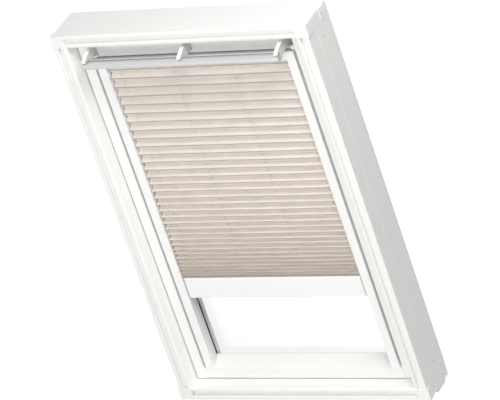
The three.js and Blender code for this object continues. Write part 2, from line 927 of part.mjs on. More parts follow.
function headrail() {
  const depths = [deep(blind_front_at), deep(blind_front_at + channel_depth)];
  const heights = [headrail_top() - headrail_height, headrail_top()];
  const inside = ([a, b]) => [a + headrail_wall, b - headrail_wall];
  const reach = channel_inner - end_cap - 2 * touch_gap;
  const hollow = along_x(rectangle(inside(depths), inside(heights)), -reach - overrun, reach + overrun);
  return along_x(rounded(depths, heights, headrail_round), -reach, reach).subtract(hollow);
}

function headrail_cap(side) {
  const outer = side * (channel_inner - touch_gap);
  const depths = [deep(blind_front_at), deep(blind_front_at + channel_depth)];
  const heights = [headrail_top() - headrail_height, headrail_top()];
  return along_x(rounded(depths, heights, headrail_round), ...span(outer, outer - side * end_cap));
}

// A hollow channel with a slit towards the cloth, standing on the sloping sash sill
function channel(side) {
  const slit = [channel_slit_at, channel_slit_at + channel_slit];
  const front = blind_front_at;
  const back = blind_front_at + channel_depth;
  const section = [
    [0, slit[0]],
    [0, front],
    [channel_width, front],
    [channel_width, back],
    [0, back],
    [0, slit[1]],
    [channel_wall, slit[1]],
    [channel_wall, back - channel_wall],
    [channel_width - channel_wall, back - channel_wall],
    [channel_width - channel_wall, front + channel_wall],
    [channel_wall, front + channel_wall],
    [channel_wall, slit[0]],
  ].map(([across, d]) => [side * (channel_inner + across), deep(d)]);
  const made = along_z(section, sash_bottom + rail_face + touch_gap, sash_top - channel_top_below);
  const slope = [
    [sash_face_at - overrun, sash_bottom + rail_face + touch_gap],
    [sash_face_at, sash_bottom + rail_face + touch_gap],
    [leg_back_at, glass_bottom + touch_gap],
    [leg_back_at, sash_bottom],
    [sash_face_at - overrun, sash_bottom],
  ].map(([d, z]) => [deep(d), z]);
  return made.subtract(along_x(slope, ...span(0, side * half_width)));
}

// Share of the drop that is used at a share of the pleats: wide pleats above, narrow ones below
function pleat_fall(t) {
  const power = pleat_ease + 1;
  const whole = 1 + pleat_spread * (1 - 1 / power);
  return (t + pleat_spread * (t - t ** power / power)) / whole;
}

// Heights of the front creases, from the headrail down to the bar
function front_creases() {
  const count = Math.round(full_drop() / (2 * pleat_panel * pleat_open_share));
  const top = cloth_top() - first_pleat_drop;
  const drop = cloth_drop() - first_pleat_drop;
  return Array.from({ length: count }, (_, i) => top - drop * pleat_fall(i / (count - 1)));
}

// The zigzag of the cloth as depth and height, for its front face
function cloth_line() {
  const creases = front_creases();
  const line = [[cloth_centre_at, cloth_top()]];
  for (let i = 0; i + 1 < creases.length; i += 1) {
    const fall = (creases[i] - creases[i + 1]) / 2;
    const reach = Math.sqrt(Math.max(pleat_panel ** 2 - fall ** 2, 0)) / 2;
    line.push([cloth_centre_at - reach, creases[i]]);
    line.push([cloth_centre_at + reach, creases[i] - fall]);
  }
  line.push([cloth_centre_at, creases.at(-1)]);
  return line;
}

function pleated_cloth() {
  const line = cloth_line();
  const front = line.map(([d, z]) => [deep(d - cloth_thickness / 2), z]);
  const back = line.map(([d, z]) => [deep(d + cloth_thickness / 2), z]).reverse();
  const reach = channel_inner - cloth_side_gap;
  let made = along_x([...front, ...back], -reach, reach);
  for (const share of cord_place_shares) {
    made = made.subtract(cord_run(share, touch_gap, [blind_bar_top(), cloth_top() + overrun]));
  }
  return made;
}

// A round run down the middle of the folds, at a share of the cloth's half width
function cord_run(share, clearance, heights) {
  const radius = cord_radius + clearance;
  const across = share * (channel_inner - cloth_side_gap);
  const ring = Array.from({ length: cord_sides }, (_, i) => {
    const angle = (2 * Math.PI * i) / cord_sides;
    return [across + radius * Math.cos(angle), deep(cloth_centre_at) + radius * Math.sin(angle)];
  });
  return along_z(ring, ...heights);
}

// A lift cord passes through a hole in each fold, from the headrail to the bar
function lift_cord(share) {
  return cord_run(share, 0, [blind_bar_top() + touch_gap, cloth_top()]);
}

function blind_bar_box(clearance) {
  const depths = [blind_front_at + blind_bar_from, blind_front_at + blind_bar_from + blind_bar_depth];
  return {
    depths: [deep(depths[0] + clearance), deep(depths[1] - clearance)],
    heights: [blind_bar_top() - blind_bar_height + clearance, blind_bar_top() - clearance],
  };
}

function blind_bar() {
  const outside = blind_bar_box(0);
  const inside = blind_bar_box(blind_bar_wall);
  const reach = channel_inner - blind_bar_side_gap - end_cap - touch_gap;
  const hollow = along_x(rectangle(inside.depths, inside.heights), -reach - overrun, reach + overrun);
  return along_x(rounded(outside.depths, outside.heights, blind_bar_round), -reach, reach).subtract(hollow);
}

// The cap that closes the bar's end and carries the tab that runs in the channel's slit
function blind_bar_cap(side) {
  const outside = blind_bar_box(0);
  const outer = side * (channel_inner - blind_bar_side_gap);
  const inner = outer - side * end_cap;
  const cap = along_x(rounded(outside.depths, outside.heights, blind_bar_round), ...span(inner, outer));
  const middle = blind_bar_top() - blind_bar_height / 2;
  const tab_back = channel_slit_at + (channel_slit + glide_thickness) / 2;
  const heights = [middle - glide_height / 2, middle + glide_height / 2];
  const ear = box(span(inner, outer), [outside.depths[1] - blind_bar_wall, deep(tab_back)], heights);
  const tab = box(span(inner, outer + side * glide_reach), [deep(tab_back - glide_thickness), deep(tab_back)], heights);
  return cap.add(ear).add(tab);
}

function blind_pieces() {
  const pieces = [
    mesh("blind_headrail", headrail(), white_aluminium),
    mesh("pleated_cloth", pleated_cloth(), beige_cloth),
    mesh("blind_bottom_bar", blind_bar(), white_aluminium),
  ];
  for (const [word, side] of sides) {
    pieces.push(mesh(`headrail_cap_${word}`, headrail_cap(side), white_plastic));
    pieces.push(mesh(`blind_channel_${word}`, channel(side), white_aluminium));
    pieces.push(mesh(`bottom_bar_cap_${word}`, blind_bar_cap(side), white_plastic));
  }
  const names = ["outer_left", "inner_left", "inner_right", "outer_right"];
  names.forEach((word, i) => {
    pieces.push(mesh(`lift_cord_${word}`, lift_cord(cord_place_shares[i]), white_cord));
  });
  return assembly("blind", pieces);
}

const roof_window = assembly("roof_window", [
  frame_pieces(),
  sash_pieces(),
  mesh("latch_tongue", latch_tongue(), zinc_steel),
  flap_pieces(),
  blind_pieces(),
]);

export default roof_window;
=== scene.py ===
"""Centre-pivot roof window with a pleated blind: finishes, fine pieces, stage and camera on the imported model."""

import math

import bmesh
import bpy
from bpy.props import FloatProperty, FloatVectorProperty, IntProperty, PointerProperty
from bpy.types import Operator, Panel, PropertyGroup
from mathutils import Matrix, Vector


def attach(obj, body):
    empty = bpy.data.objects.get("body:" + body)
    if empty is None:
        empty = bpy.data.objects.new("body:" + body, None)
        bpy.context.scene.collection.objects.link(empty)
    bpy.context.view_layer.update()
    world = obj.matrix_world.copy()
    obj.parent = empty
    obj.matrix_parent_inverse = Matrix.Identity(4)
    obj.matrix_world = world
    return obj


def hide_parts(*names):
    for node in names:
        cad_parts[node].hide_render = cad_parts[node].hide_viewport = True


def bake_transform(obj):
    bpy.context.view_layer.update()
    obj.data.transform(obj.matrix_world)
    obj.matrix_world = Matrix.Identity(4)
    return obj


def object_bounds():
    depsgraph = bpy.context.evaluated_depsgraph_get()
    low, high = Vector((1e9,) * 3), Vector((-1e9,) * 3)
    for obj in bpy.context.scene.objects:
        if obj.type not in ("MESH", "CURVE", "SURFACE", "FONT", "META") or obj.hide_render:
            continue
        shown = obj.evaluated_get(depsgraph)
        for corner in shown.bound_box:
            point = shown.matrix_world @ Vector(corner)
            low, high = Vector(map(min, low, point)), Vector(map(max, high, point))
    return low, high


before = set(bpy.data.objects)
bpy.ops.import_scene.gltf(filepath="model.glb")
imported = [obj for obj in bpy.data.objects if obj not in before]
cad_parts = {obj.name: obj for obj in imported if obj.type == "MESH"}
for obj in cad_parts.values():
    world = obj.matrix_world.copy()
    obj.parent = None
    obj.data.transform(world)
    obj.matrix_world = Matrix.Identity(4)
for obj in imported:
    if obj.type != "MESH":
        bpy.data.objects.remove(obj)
CAD_BOX = [list(corner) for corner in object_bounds()]

bl_info = {
    "name": "Roof window with pleated blind",
    "version": (1, 0, 0),
    "blender": (4, 5, 0),
    "location": "3D View > Sidebar > Roof Window",
    "description": "Finishes and fine pieces for a centre-pivot roof window and its pleated blind",
    "category": "Object",
}

MM = 0.001
SIDES = (("left", -1), ("right", 1))

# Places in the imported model, in metres
HALF_WIDTH = 0.390
HEIGHT = 1.178
COMB_PROUD = 0.002
ROOM_FACE = -0.0635
CLOTH_TOP = 1.0537
CLOTH_DROP = 0.67688
CLOTH_BOTTOM = CLOTH_TOP - CLOTH_DROP
CLOTH_Y = ROOM_FACE + 0.0485
CLOTH_HALF = 0.2773
CORD_SHARES = (-0.877, -0.296, 0.361, 0.953)

# Metres of cloth above the first fold, and the width of a column of its mesh
TOP_STRIP, COLUMN_STEP = 0.009, 0.03
# Half the cell round a cord hole in hole radii, the points round a hole, and the rows in a whole panel
HOLE_CELL, HOLE_POINTS, PANEL_ROWS = 1.25, 12, 7

# A wave texture repeats every pi / 10 units across straight bands, and every pi / 5 along one axis of slanting ones
WEAVE_SCALE = 1250 / 6.2832
STRAND_SCALE = 500 / 6.2832

# Fasteners and plugs. A depth is in millimetres behind the frame's room face, everything else is in metres.
FRAME_SCREW = {"head": 0.0032, "shank": 0.0019, "long": 0.0238}
FRAME_SCREW_FROM_END, FRAME_SCREW_DEPTH, FRAME_SCREW_SUNK = 0.078, 75.5, 0.0012
COVER_SCREW = {"head": 0.0034, "shank": 0.0017, "long": 0.02}
COVER_SCREW_X, COVER_SCREW_DEPTH, COVER_SCREW_PROUD = 0.331, 108, 0.0006
COVER_SCREW_HEIGHTS = (0.085, 0.345, 0.605, 0.865, 1.095)
# Each nail's name, how far its finger of the comb stands proud, its depth, and its distance from the frame's end
SIDE_NAILS = (("deep", COMB_PROUD, 92.2, 0.0198), ("mid", 0.0, 66.0, 0.0371))
TOP_NAIL_X, TOP_NAIL_DEPTH = 0.336, 36.4
# A plug keeps 0.2 mm inside its channel's faces and starts just above the channel's top
PLUG_INNER, PLUG_OUTER = 0.2799, 0.3051
PLUG_FRONT_DEPTH, PLUG_BACK_DEPTH = 38.2, 70.1
PLUG_FOOT, PLUG_THICK = 1.07905, 0.00155

# Stage. A lamp has its place, the point it looks at, its width and its height.
KEY_LAMP = ((0.15, -3.2, 1.0), (0, 0, 0.75), 1.4, 2.4)
FILL_LAMP = ((1.5, -0.9, 3.3), (0, 0, 0.9), 1.4, 1.2)
PICTURE_MIDDLE = Vector((0.0218, -0.0254, 0.6273))
SENSOR_WIDTH = 36.0
FLOOR_REACH = 30.0
WHITE = (1, 1, 1, 1)
# Strength of the sky where it is seen, straight or through glass or cloth, and where it is mirrored; 1 is white.
# The picture's own view shows only the floor behind the window.
SKY_SEEN, SKY_MIRRORED = 1.4, 1.0
# The floor's own glow in the same two cases. The light that falls on it adds the rest, so it keeps the shadow.
FLOOR_SEEN, FLOOR_MIRRORED = 0.75, 0.5

# Edges sharper than this stay sharp on rounded pieces
CRISP = math.radians(35)


def linear(code):
    """An sRGB hex colour as linear red, green and blue, with full opacity."""
    channels = [int(code[i:i + 2], 16) / 255 for i in (1, 3, 5)]
    return tuple(c / 12.92 if c <= 0.04045 else ((c + 0.055) / 1.055) ** 2.4 for c in channels) + (1.0,)


def deep(depth):
    """The Y place of a depth in millimetres behind the frame's room face."""
    return ROOM_FACE + depth * MM


def colour(name, code, description):
    """A colour property whose default is an sRGB hex colour."""
    return FloatVectorProperty(
        name=name, description=description, default=linear(code), size=4, subtype="COLOR", min=0, max=1
    )


def length(name, metres, description):
    """A length property in metres."""
    return FloatProperty(name=name, description=description, default=metres, unit="LENGTH", precision=5)


class RoofWindowFinishes(PropertyGroup):
    """Colours of the window's and the blind's finishes."""

    lacquer: colour("Lacquer", "#FAFAF8", "Sprayed white coat on the timber boards")
    lacquer_shade: colour("Lacquer shade", "#F5F5F2", "The coat where it lies a little thinner")
    plastic: colour("Moulded plastic", "#F7F7F5", "White caps, plugs and latch case")
    # The grey for the arms' sides is painted shade, standing in for the shade under the frame's head on their white
    # sides.
    arm_side: colour("Arm sides", "#CFCFCD", "Grey sides of the arms behind their white front edges")
    powder: colour("Powder coat", "#FAFAF9", "White rails and channels of the blind")
    anodised: colour("Anodised aluminium", "#D6D8D8", "Control bar")
    cladding: colour("Cladding", "#E6E7E5", "Lacquered outside covers")
    zinc: colour("Zinc plate", "#C3C5C6", "Plates, pins, screws and nails")
    rubber: colour("Rubber", "#232424", "Gaskets, seals and washers")
    spacer: colour("Spacer bar", "#F0F1F0", "Aluminium spacer between the panes")
    glass: colour("Glass", "#FEFFFE", "Clear float glass")
    cloth: colour("Cloth", "#F6EFE8", "Pleated cloth")
    cloth_shade: colour("Cloth shade", "#EEE6DD", "Thicker threads in the cloth")
    # The fold colour is painted shade, for the shadow under each fold towards the room.
    cloth_fold: colour("Cloth fold", "#B3A79D", "Darker line along a fold")
    cord: colour("Cord", "#EFE7DE", "Braided lift cords")
    floor: colour("Floor", "#D0D0D0", "Seamless studio paper")


class RoofWindowSizes(PropertyGroup):
    """Sizes of the fine pieces."""

    panel: length("Pleat panel", 0.020, "Cloth between two folds, measured flat")
    pleats: IntProperty(name="Front folds", description="Number of folds towards the room", default=34, min=2)
    fold_round: length("Fold rounding", 0.0007, "Cloth used by the bend of a fold, to each side")
    panel_bow: length("Panel bow", 0.0005, "How far a panel curves between its folds")
    fold_waver: length("Fold waver", 0.0004, "How far a fold strays from straight")
    hole: length("Cord hole", 0.0010, "Radius of the punched holes in the cloth")
    cord: length("Cord radius", 0.0007, "Radius of a lift cord")
    board_round: length("Board edge", 0.0009, "Rounding of the boards' and the arms' edges")
    metal_round: length("Metal edge", 0.0004, "Rounding of rails, covers, plates, caps and seals")


class RoofWindowStage(PropertyGroup):
    """Camera and studio light."""

    azimuth: FloatProperty(name="Azimuth", description="Camera to the right of straight on",
                           default=math.radians(35.11), unit="ROTATION")
    elevation: FloatProperty(name="Elevation", description="Camera above level",
                             default=math.radians(27.53), unit="ROTATION")
    roll: FloatProperty(name="Roll", description="Turn of the picture, which leans the window to the left",
                        default=math.radians(19.33), unit="ROTATION")
    distance: length("Distance", 11.81, "Camera to the middle of the picture")
    lens: FloatProperty(name="Lens", description="Focal length on a 36 mm wide sensor",
                        default=318.24, unit="CAMERA")
    front: FloatProperty(name="Front sky", description="Strength of the light from the room side", default=0.38,
                         min=0)
    back: FloatProperty(name="Back sky", description="Strength of the light from behind the window", default=0.16,
                        min=0)
    key: FloatProperty(name="Key lamp", description="Power of the soft lamp in front", default=48,
                       min=0, unit="POWER")
    fill: FloatProperty(name="Fill lamp", description="Power of the soft lamp above on the right", default=64,
                        min=0, unit="POWER")


# Nodes and materials


def add(tree, kind, sockets=None, **settings):
    """Adds one node to a tree with its settings, its socket values and its links."""
    node = tree.nodes.new(kind)
    for name, value in settings.items():
        setattr(node, name, value)
    for name, value in (sockets or {}).items():
        if isinstance(value, bpy.types.NodeSocket):
            tree.links.new(value, node.inputs[name])
        else:
            node.inputs[name].default_value = value
    return node


def empty_material(name):
    """A material with no nodes yet, and its node tree."""
    made = bpy.data.materials.new(name)
    made.use_nodes = True
    made.node_tree.nodes.clear()
    return made, made.node_tree


def white_lacquered_timber(finishes):
    """Timber boards under a sprayed polyurethane coat. Reads as soft satin white with a faint orange peel."""
    made, tree = empty_material("white_lacquered_timber")
    place = add(tree, "ShaderNodeTexCoord").outputs["Object"]
    # The coat's thickness drifts over a hand's width
    cloud = add(tree, "ShaderNodeTexNoise", {"Vector": place, "Scale": 1 / 0.09, "Detail": 3.0})
    tone = add(tree, "ShaderNodeMix", {0: cloud.outputs["Fac"], 6: finishes.lacquer, 7: finishes.lacquer_shade},
               data_type="RGBA")
    # Orange peel of a sprayed coat has bumps about 2 mm across
    peel = add(tree, "ShaderNodeTexNoise", {"Vector": place, "Scale": 1 / 0.002, "Detail": 1.5})
    bump = add(tree, "ShaderNodeBump", {"Height": peel.outputs["Fac"], "Strength": 0.12, "Distance": 0.0004})
    gloss = add(tree, "ShaderNodeMapRange", {"Value": cloud.outputs["Fac"], "To Min": 0.34, "To Max": 0.46})
    shader = add(tree, "ShaderNodeBsdfPrincipled", {
        "Base Color": tone.outputs[2],
        "Roughness": gloss.outputs["Result"],
        "Normal": bump.outputs["Normal"],
        "IOR": 1.5,
    })
    add(tree, "ShaderNodeOutputMaterial", {"Surface": shader.outputs[0]})
    return made


def moulded_abs(name, front, side=None):
    """ABS with the even fine grain of a spark-eroded tool. Faces that look sideways may take a second colour, used
    for painted shade.
    """
    made, tree = empty_material(name)
    place = add(tree, "ShaderNodeTexCoord")
    base = front
    if side is not None:
        # Painted shade: faces that look along X are greyed towards the side colour
        facing = add(tree, "ShaderNodeSeparateXYZ", {0: place.outputs["Normal"]})
        across = add(tree, "ShaderNodeMath", {0: facing.outputs["X"]}, operation="ABSOLUTE")
        share = add(tree, "ShaderNodeMapRange", {"Value": across.outputs[0], "From Min": 0.8, "From Max": 0.95})
        base = add(tree, "ShaderNodeMix", {0: share.outputs[0], 6: front, 7: side}, data_type="RGBA").outputs[2]
    # The tool's grain is about 0.3 mm; it is drawn at 0.8 mm so that it shows
    grain = add(tree, "ShaderNodeTexVoronoi", {"Vector": place.outputs["Object"], "Scale": 1 / 0.0008})
    bump = add(tree, "ShaderNodeBump", {"Height": grain.outputs["Distance"], "Strength": 0.15, "Distance": 0.0001})
    cloud = add(tree, "ShaderNodeTexNoise", {"Vector": place.outputs["Object"], "Scale": 1 / 0.03, "Detail": 2.0})
    gloss = add(tree, "ShaderNodeMapRange", {"Value": cloud.outputs["Fac"], "To Min": 0.38, "To Max": 0.5})
    shader = add(tree, "ShaderNodeBsdfPrincipled", {
        "Base Color": base,
        "Roughness": gloss.outputs["Result"],
        "Normal": bump.outputs["Normal"],
        "IOR": 1.54,
    })
    add(tree, "ShaderNodeOutputMaterial", {"Surface": shader.outputs[0]})
    return made


def white_moulded_abs(finishes):
    """ABS moulded in one shot. Reads as matt white with an even fine grain."""
    return moulded_abs("white_moulded_abs", finishes.plastic)


def abs_with_painted_side_shade(finishes):
    """White ABS. Reads as matt, with white front edges and sides greyed by painted shade."""
    return moulded_abs("abs_with_painted_side_shade", finishes.plastic, finishes.arm_side)


def white_powder_coat(finishes):
    """Aluminium sections under baked powder. Reads as smooth satin white with a close orange peel."""
    made, tree = empty_material("white_powder_coat")
    place = add(tree, "ShaderNodeTexCoord").outputs["Object"]
    # Melted powder leaves bumps about 1.2 mm across
    peel = add(tree, "ShaderNodeTexNoise", {"Vector": place, "Scale": 1 / 0.0012, "Detail": 1.0})
    bump = add(tree, "ShaderNodeBump", {"Height": peel.outputs["Fac"], "Strength": 0.1, "Distance": 0.0003})
    cloud = add(tree, "ShaderNodeTexNoise", {"Vector": place, "Scale": 1 / 0.06, "Detail": 2.0})
    gloss = add(tree, "ShaderNodeMapRange", {"Value": cloud.outputs["Fac"], "To Min": 0.3, "To Max": 0.4})
    shader = add(tree, "ShaderNodeBsdfPrincipled", {
        "Base Color": finishes.powder,
        "Roughness": gloss.outputs["Result"],
        "Normal": bump.outputs["Normal"],
        "IOR": 1.5,
    })
    add(tree, "ShaderNodeOutputMaterial", {"Surface": shader.outputs[0]})
    return made


def anodised_aluminium(finishes):
    """Extruded aluminium, satin anodised. Reads as silver with fine die lines along the bar."""
    made, tree = empty_material("anodised_aluminium")
    place = add(tree, "ShaderNodeTexCoord").outputs["Object"]
    # Die lines run the bar's length and lie about 0.5 mm apart
    drawn = add(tree, "ShaderNodeMapping", {"Vector": place, "Scale": (1 / 0.4, 1 / 0.0005, 1 / 0.0005)})
    lines = add(tree, "ShaderNodeTexNoise", {"Vector": drawn.outputs[0], "Scale": 1.0, "Detail": 3.0})
    bump = add(tree, "ShaderNodeBump", {"Height": lines.outputs["Fac"], "Strength": 0.12, "Distance": 0.0001})
    gloss = add(tree, "ShaderNodeMapRange", {"Value": lines.outputs["Fac"], "To Min": 0.26, "To Max": 0.42})
    shader = add(tree, "ShaderNodeBsdfPrincipled", {
        "Base Color": finishes.anodised,
        "Metallic": 1.0,
        "Roughness": gloss.outputs["Result"],
        "Normal": bump.outputs["Normal"],
    })
    add(tree, "ShaderNodeOutputMaterial", {"Surface": shader.outputs[0]})
    return made


def lacquered_cladding(finishes):
    """Rolled aluminium with a pale coil coat. Reads as satin off-white, a little clouded, with a faint stipple."""
    made, tree = empty_material("lacquered_cladding")
    place = add(tree, "ShaderNodeTexCoord").outputs["Object"]
    cloud = add(tree, "ShaderNodeTexNoise", {"Vector": place, "Scale": 1 / 0.05, "Detail": 4.0})
    darker = tuple(c * 0.94 for c in finishes.cladding[:3]) + (1.0,)
    tone = add(tree, "ShaderNodeMix", {0: cloud.outputs["Fac"], 6: finishes.cladding, 7: darker}, data_type="RGBA")
    # The coil coat's stipple is about 1 mm
    stipple = add(tree, "ShaderNodeTexNoise", {"Vector": place, "Scale": 1 / 0.001, "Detail": 1.0})
    bump = add(tree, "ShaderNodeBump", {"Height": stipple.outputs["Fac"], "Strength": 0.15, "Distance": 0.0002})
    gloss = add(tree, "ShaderNodeMapRange", {"Value": cloud.outputs["Fac"], "To Min": 0.42, "To Max": 0.58})
    shader = add(tree, "ShaderNodeBsdfPrincipled", {
        "Base Color": tone.outputs[2],
        "Roughness": gloss.outputs["Result"],
        "Normal": bump.outputs["Normal"],
        "IOR": 1.5,
    })
    add(tree, "ShaderNodeOutputMaterial", {"Surface": shader.outputs[0]})
    return made


def zinc_plated_steel(finishes):
    """Pressed steel with bright zinc plate. Reads as pale grey metal, a little clouded."""
    made, tree = empty_material("zinc_plated_steel")
    place = add(tree, "ShaderNodeTexCoord").outputs["Object"]
    # Plating crystals are about 2 mm
    cloud = add(tree, "ShaderNodeTexNoise", {"Vector": place, "Scale": 1 / 0.002, "Detail": 4.0})
    darker = tuple(c * 0.84 for c in finishes.zinc[:3]) + (1.0,)
    tone = add(tree, "ShaderNodeMix", {0: cloud.outputs["Fac"], 6: finishes.zinc, 7: darker}, data_type="RGBA")
    gloss = add(tree, "ShaderNodeMapRange", {"Value": cloud.outputs["Fac"], "To Min": 0.28, "To Max": 0.5})
    bump = add(tree, "ShaderNodeBump", {"Height": cloud.outputs["Fac"], "Strength": 0.1, "Distance": 0.0001})
    shader = add(tree, "ShaderNodeBsdfPrincipled", {
        "Base Color": tone.outputs[2],
        "Metallic": 1.0,
        "Roughness": gloss.outputs["Result"],
        "Normal": bump.outputs["Normal"],
    })
    add(tree, "ShaderNodeOutputMaterial", {"Surface": shader.outputs[0]})
    return made


def extruded_rubber(finishes):
    """EPDM extruded in strips. Reads as dull black with a dusty bloom."""
    made, tree = empty_material("extruded_rubber")
    place = add(tree, "ShaderNodeTexCoord").outputs["Object"]
    bloom = add(tree, "ShaderNodeTexNoise", {"Vector": place, "Scale": 1 / 0.012, "Detail": 5.0})
    paler = tuple(min(1.0, c * 1.9) for c in finishes.rubber[:3]) + (1.0,)
    tone = add(tree, "ShaderNodeMix", {0: bloom.outputs["Fac"], 6: finishes.rubber, 7: paler}, data_type="RGBA")
    grain = add(tree, "ShaderNodeTexNoise", {"Vector": place, "Scale": 1 / 0.0007, "Detail": 2.0})
    bump = add(tree, "ShaderNodeBump", {"Height": grain.outputs["Fac"], "Strength": 0.25, "Distance": 0.0002})
    gloss = add(tree, "ShaderNodeMapRange", {"Value": bloom.outputs["Fac"], "To Min": 0.6, "To Max": 0.85})
    shader = add(tree, "ShaderNodeBsdfPrincipled", {
        "Base Color": tone.outputs[2],
        "Roughness": gloss.outputs["Result"],
        "Normal": bump.outputs["Normal"],
        "IOR": 1.52,
    })
    add(tree, "ShaderNodeOutputMaterial", {"Surface": shader.outputs[0]})
    return made


def spacer_aluminium(finishes):
    """Roll-formed aluminium spacer. Reads as pale satin with breathing holes for the drying agent."""
    made, tree = empty_material("spacer_aluminium")
    place = add(tree, "ShaderNodeTexCoord").outputs["Object"]
    # Breathing holes are 1 mm slots every 4 mm; they are drawn as dots up to 2 mm wide
    holes = add(tree, "ShaderNodeTexVoronoi", {"Vector": place, "Scale": 1 / 0.004, "Randomness": 0.0})
    dots = add(tree, "ShaderNodeMapRange",
               {"Value": holes.outputs["Distance"], "From Min": 0.2, "From Max": 0.32, "To Min": 0.0, "To Max": 1.0})
    darker = tuple(c * 0.8 for c in finishes.spacer[:3]) + (1.0,)
    tone = add(tree, "ShaderNodeMix", {0: dots.outputs["Result"], 6: darker, 7: finishes.spacer}, data_type="RGBA")
    cloud = add(tree, "ShaderNodeTexNoise", {"Vector": place, "Scale": 1 / 0.01, "Detail": 3.0})
    gloss = add(tree, "ShaderNodeMapRange", {"Value": cloud.outputs["Fac"], "To Min": 0.4, "To Max": 0.55})
    bump = add(tree, "ShaderNodeBump", {"Height": dots.outputs["Result"], "Strength": 0.2, "Distance": 0.0002})
    shader = add(tree, "ShaderNodeBsdfPrincipled", {
        "Base Color": tone.outputs[2],
        "Metallic": 0.1,
        "Roughness": gloss.outputs["Result"],
        "Normal": bump.outputs["Normal"],
    })
    add(tree, "ShaderNodeOutputMaterial", {"Surface": shader.outputs[0]})
    return made


def float_glass(finishes):
    """Float glass. Reads as clear, with a clean reflection, and lets the lamps' light through."""
    made, tree = empty_material("float_glass")
    place = add(tree, "ShaderNodeTexCoord").outputs["Object"]
    # Roller waves in toughened glass lie about 0.25 m apart and are only just there
    wave = add(tree, "ShaderNodeTexNoise", {"Vector": place, "Scale": 1 / 0.25, "Detail": 0.0})
    bump = add(tree, "ShaderNodeBump", {"Height": wave.outputs["Fac"], "Strength": 0.02, "Distance": 0.001})
    shader = add(tree, "ShaderNodeBsdfPrincipled", {
        "Base Color": finishes.glass,
        "Transmission Weight": 1.0,
        "Roughness": 0.0,
        "IOR": 1.52,
        "Normal": bump.outputs["Normal"],
    })
    clear = add(tree, "ShaderNodeBsdfTransparent", {"Color": finishes.glass})
    ray = add(tree, "ShaderNodeLightPath")
    mixed = add(tree, "ShaderNodeMixShader",
                {0: ray.outputs["Is Shadow Ray"], 1: shader.outputs[0], 2: clear.outputs[0]})
    add(tree, "ShaderNodeOutputMaterial", {"Surface": mixed.outputs[0]})
    return made


def pleated_polyester(finishes):
    """Woven polyester, stiffened and folded into pleats. Reads as matt warm beige, glowing a little where light comes
    through, with fine slubs across, and a line of painted shade along each fold towards the room."""
    made, tree = empty_material("pleated_polyester")
    flat = add(tree, "ShaderNodeUVMap", uv_map="flat_cloth").outputs["UV"]
    # Slubs are threads 20 to 60 mm long; real ones are 0.3 mm thick and are drawn at 1.5 mm so that they show
    drawn = add(tree, "ShaderNodeMapping", {"Vector": flat, "Scale": (1 / 0.04, 1 / 0.0015, 1.0)})
    slubs = add(tree, "ShaderNodeTexNoise", {"Vector": drawn.outputs[0], "Scale": 1.0, "Detail": 4.0})
    cloud = add(tree, "ShaderNodeTexNoise", {"Vector": flat, "Scale": 1 / 0.05, "Detail": 2.0})
    blend = add(tree, "ShaderNodeMath", {0: slubs.outputs["Fac"], 1: cloud.outputs["Fac"]}, operation="MULTIPLY")
    spread = add(tree, "ShaderNodeMapRange", {"Value": blend.outputs[0], "From Min": 0.15, "From Max": 0.4})
    tone = add(tree, "ShaderNodeMix", {0: spread.outputs[0], 6: finishes.cloth, 7: finishes.cloth_shade},
               data_type="RGBA")
    # Painted shade: a darker band along each fold towards the room, which fades out over about 3 mm, stands in for
    # the shadow under the fold and draws the line between the folds
    fold_shade_attribute = add(tree, "ShaderNodeAttribute", attribute_name="fold_painted_shade")
    fold_shade_band = add(tree, "ShaderNodeMapRange", {"Value": fold_shade_attribute.outputs["Fac"], "From Min": 0.35, "From Max": 1.0},
               interpolation_type="SMOOTHSTEP")
    fold_shaded_tone = add(tree, "ShaderNodeMix", {0: fold_shade_band.outputs[0], 6: tone.outputs[2], 7: finishes.cloth_fold},
                 data_type="RGBA")
    # Warp and weft threads are 0.25 mm apart; at this scale they are drawn every 1.58 mm, so that they show
    warp = add(tree, "ShaderNodeTexWave", {"Vector": flat, "Scale": WEAVE_SCALE}, bands_direction="X")
    weft = add(tree, "ShaderNodeTexWave", {"Vector": flat, "Scale": WEAVE_SCALE}, bands_direction="Y")
    weave = add(tree, "ShaderNodeMath", {0: warp.outputs["Fac"], 1: weft.outputs["Fac"]}, operation="ADD")
    lumps = add(tree, "ShaderNodeMath", {0: weave.outputs[0], 1: slubs.outputs["Fac"]}, operation="ADD")
    bump = add(tree, "ShaderNodeBump", {"Height": lumps.outputs[0], "Strength": 0.25, "Distance": 0.0002})
    front = add(tree, "ShaderNodeBsdfPrincipled", {
        "Base Color": fold_shaded_tone.outputs[2],
        "Roughness": 0.85,
        "Sheen Weight": 0.15,
        "Sheen Roughness": 0.5,
        "Normal": bump.outputs["Normal"],
        "IOR": 1.5,
        "Specular IOR Level": 0.25,
    })
    through = add(tree, "ShaderNodeBsdfTranslucent", {"Color": fold_shaded_tone.outputs[2], "Normal": bump.outputs["Normal"]})
    mixed = add(tree, "ShaderNodeMixShader", {0: 0.1, 1: front.outputs[0], 2: through.outputs[0]})
    add(tree, "ShaderNodeOutputMaterial", {"Surface": mixed.outputs[0]})
    return made


